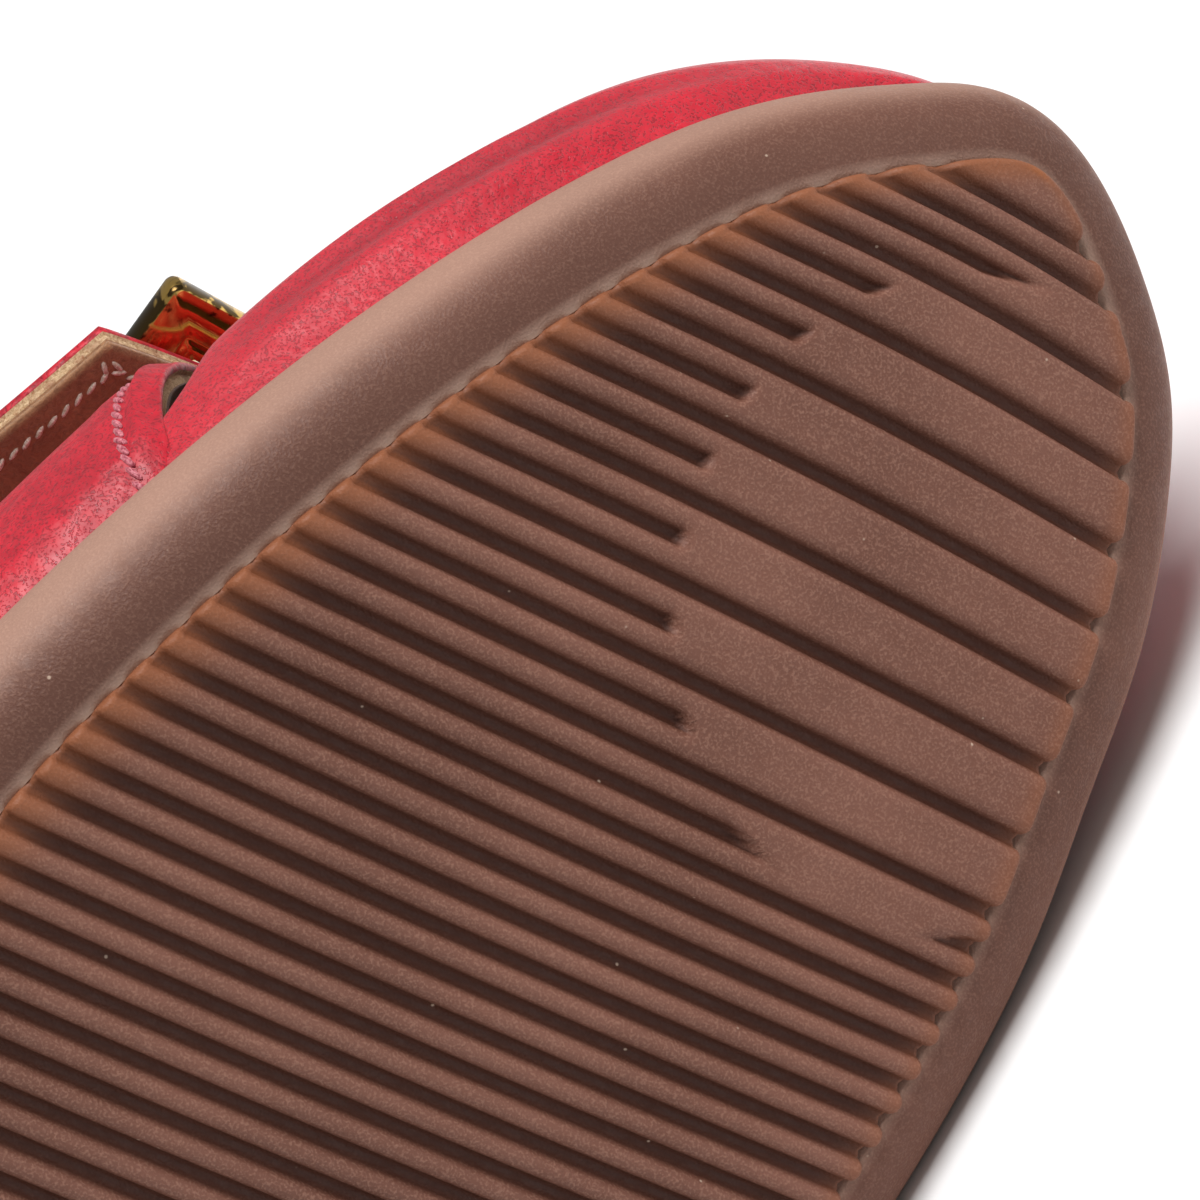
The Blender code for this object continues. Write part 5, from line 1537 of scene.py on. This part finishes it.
class SHOE_OT_stitches(bpy.types.Operator):
    """Sew the folded edges and the strap"""

    bl_idname = "shoe.stitches"
    bl_label = "Stitches"

    def execute(self, context):
        sizes = context.scene.shoe_sizes
        tree = stitch_tree()
        pink = thread("polyester_thread_rose", "#d9808a", "#8a2036")
        white = thread("waxed_thread_white", "#efe3d6", "#b9a690")
        red = thread("polyester_thread_red", "#b51d38", "#7d0d22")
        base = {"Radius": sizes.thread_radius, "Seed": sizes.seed, "Looseness": 0.12}
        quarter, (front, collar, _) = MADE["quarter"]
        strap, (border,) = MADE["strap"]
        fine = {**base, "Pitch": 0.82 * sizes.stitch_length, "Length": 1.15 * sizes.stitch_length, "Slant": 0.42}
        long = {**base, "Pitch": 1.9 * sizes.stitch_length, "Length": 1.6 * sizes.stitch_length, "Slant": 0.08}
        rows = (
            ("band_stitches", quarter, front, sizes.fold_width, 1, {**fine, "Thread": pink}, False),
            ("collar_stitches", quarter, collar, sizes.fold_width, 1, {**long, "Thread": pink}, True),
            ("strap_stitches", strap, border, sizes.edge_stitch_inset, 1, {**long, "Thread": red}, True),
            ("strap_back_stitches", strap, border, sizes.edge_stitch_inset, -1,
             {**fine, "Length": 0.8 * sizes.stitch_length, "Radius": 0.8 * sizes.thread_radius, "Thread": white},
             True),
        )
        for name, surface, (line, outward, normals), inset, face, values, closed in rows:
            start = line if face > 0 else line - normals * (STRAP_THICKNESS + SEARCH_FROM)
            places, facing = on_surface(surface, start, outward, inset, normals * face)
            finish_piece(stitch_row(name, tree, places, facing, values, closed),
                         "strap_leather" if surface == strap else "red_leather")
        return {"FINISHED"}


# The camera's place and axes in the upright shoe
CAMERA_PLACE = (0.123385, 0.212762, -0.269419)
CAMERA_RIGHT = (-0.82317, 0.46354, -0.32789)
CAMERA_DOWN = (-0.40555, -0.88418, -0.23184)
CAMERA_AHEAD = (-0.39738, -0.05786, 0.91583)


# Far soft lights beside the camera's line: spread in degrees, and the way from the shoe as shares to the right, up and
# back towards the camera
Lamp = namedtuple("Lamp", "spread right up back")
KEY = Lamp(34, -0.50, 0.95, 0.66)
FILL = Lamp(50, 0.5, 0.1, 1.0)
FLOOR_HALF = 3
SENSOR_WIDTH = 36.0


def camera_axes():
    """The camera's directions to its right, down and ahead, in the lying shoe."""
    return [lay_direction(axis) for axis in (CAMERA_RIGHT, CAMERA_DOWN, CAMERA_AHEAD)]


def add_lamp(name, strength, lamp):
    """One of the far soft lights at its strength."""
    right, down, ahead = camera_axes()
    way = Vector(lamp.right * right - lamp.up * down - lamp.back * ahead).normalized()
    data = bpy.data.lights.new(name, "SUN")
    data.energy = strength
    data.angle = radians(lamp.spread)
    made = linked(name, data)
    made.location = way
    made.rotation_mode = "QUATERNION"
    made.rotation_quaternion = (-way).to_track_quat("-Z", "Y")


class SHOE_OT_stage(bpy.types.Operator):
    """Set the floor, the lights and the camera"""

    bl_idname = "shoe.stage"
    bl_label = "Floor, light and camera"

    def execute(self, context):
        stage = context.scene.shoe_stage
        mesh = bpy.data.meshes.new("floor")
        corners = [(FLOOR_HALF * x, FLOOR_HALF * y, 0) for x, y in ((-1, -1), (1, -1), (1, 1), (-1, 1))]
        mesh.from_pydata(corners, [], [(0, 1, 2, 3)])
        paper = bpy.data.materials.new("matt_paper")
        paper.use_nodes = True
        shader = paper.node_tree.nodes["Principled BSDF"]
        shader.inputs["Base Color"].default_value = (*stage.floor, 1.0)
        shader.inputs["Roughness"].default_value = 0.95
        mesh.materials.append(paper)
        linked("floor", mesh)

        world = bpy.data.worlds.new("studio")
        world.use_nodes = True
        background = world.node_tree.nodes["Background"]
        background.inputs["Color"].default_value = (1.0, 1.0, 1.0, 1.0)
        background.inputs["Strength"].default_value = stage.sky
        context.scene.world = world
        add_lamp("key", stage.key, KEY)
        add_lamp("fill", stage.fill, FILL)

        data = bpy.data.cameras.new("camera")
        data.sensor_width = SENSOR_WIDTH
        data.lens = stage.lens
        data.clip_start = 0.01
        data.clip_end = 20.0
        camera = linked("camera", data)
        right, down, ahead = camera_axes()
        turn = Matrix((right, -down, -ahead)).transposed()
        camera.rotation_mode = "QUATERNION"
        camera.rotation_quaternion = turn.to_quaternion()
        camera.location = lay(np.array(CAMERA_PLACE))
        context.scene.camera = camera
        context.scene.view_settings.view_transform = "Standard"
        return {"FINISHED"}


OPERATORS = (SHOE_OT_sole, SHOE_OT_upper, SHOE_OT_insole, SHOE_OT_strap, SHOE_OT_buckle, SHOE_OT_stitches,
             SHOE_OT_stage)
GROUPS = {"shoe_colours": ShoeColours, "shoe_sizes": ShoeSizes, "shoe_stage": ShoeStage}


class SHOE_PT_panel(bpy.types.Panel):
    """Lists the shoe's pieces and their settings"""

    bl_idname = "SHOE_PT_panel"
    bl_label = "Ballet flat"
    bl_space_type = "VIEW_3D"
    bl_region_type = "UI"
    bl_category = "Ballet flat"

    def draw(self, context):
        for operator in OPERATORS:
            self.layout.operator(operator.bl_idname)
        for name, group in GROUPS.items():
            box = self.layout.box()
            for setting in group.__annotations__:
                box.prop(getattr(context.scene, name), setting)


def register():
    """Registers the settings, the operators and the panel."""
    for group in GROUPS.values():
        bpy.utils.register_class(group)
    for operator in OPERATORS:
        bpy.utils.register_class(operator)
    bpy.utils.register_class(SHOE_PT_panel)
    for name, group in GROUPS.items():
        setattr(bpy.types.Scene, name, PointerProperty(type=group))


def unregister():
    """Takes all of them out again."""
    for name in GROUPS:
        delattr(bpy.types.Scene, name)
    bpy.utils.unregister_class(SHOE_PT_panel)
    for operator in reversed(OPERATORS):
        bpy.utils.unregister_class(operator)
    for group in reversed(GROUPS.values()):
        bpy.utils.unregister_class(group)


def main():
    """Makes the pieces in order."""
    register()
    for make in (bpy.ops.shoe.sole, bpy.ops.shoe.upper, bpy.ops.shoe.insole, bpy.ops.shoe.strap, bpy.ops.shoe.buckle,
                 bpy.ops.shoe.stitches, bpy.ops.shoe.stage):
        make()


if __name__ == "__main__":
    main()
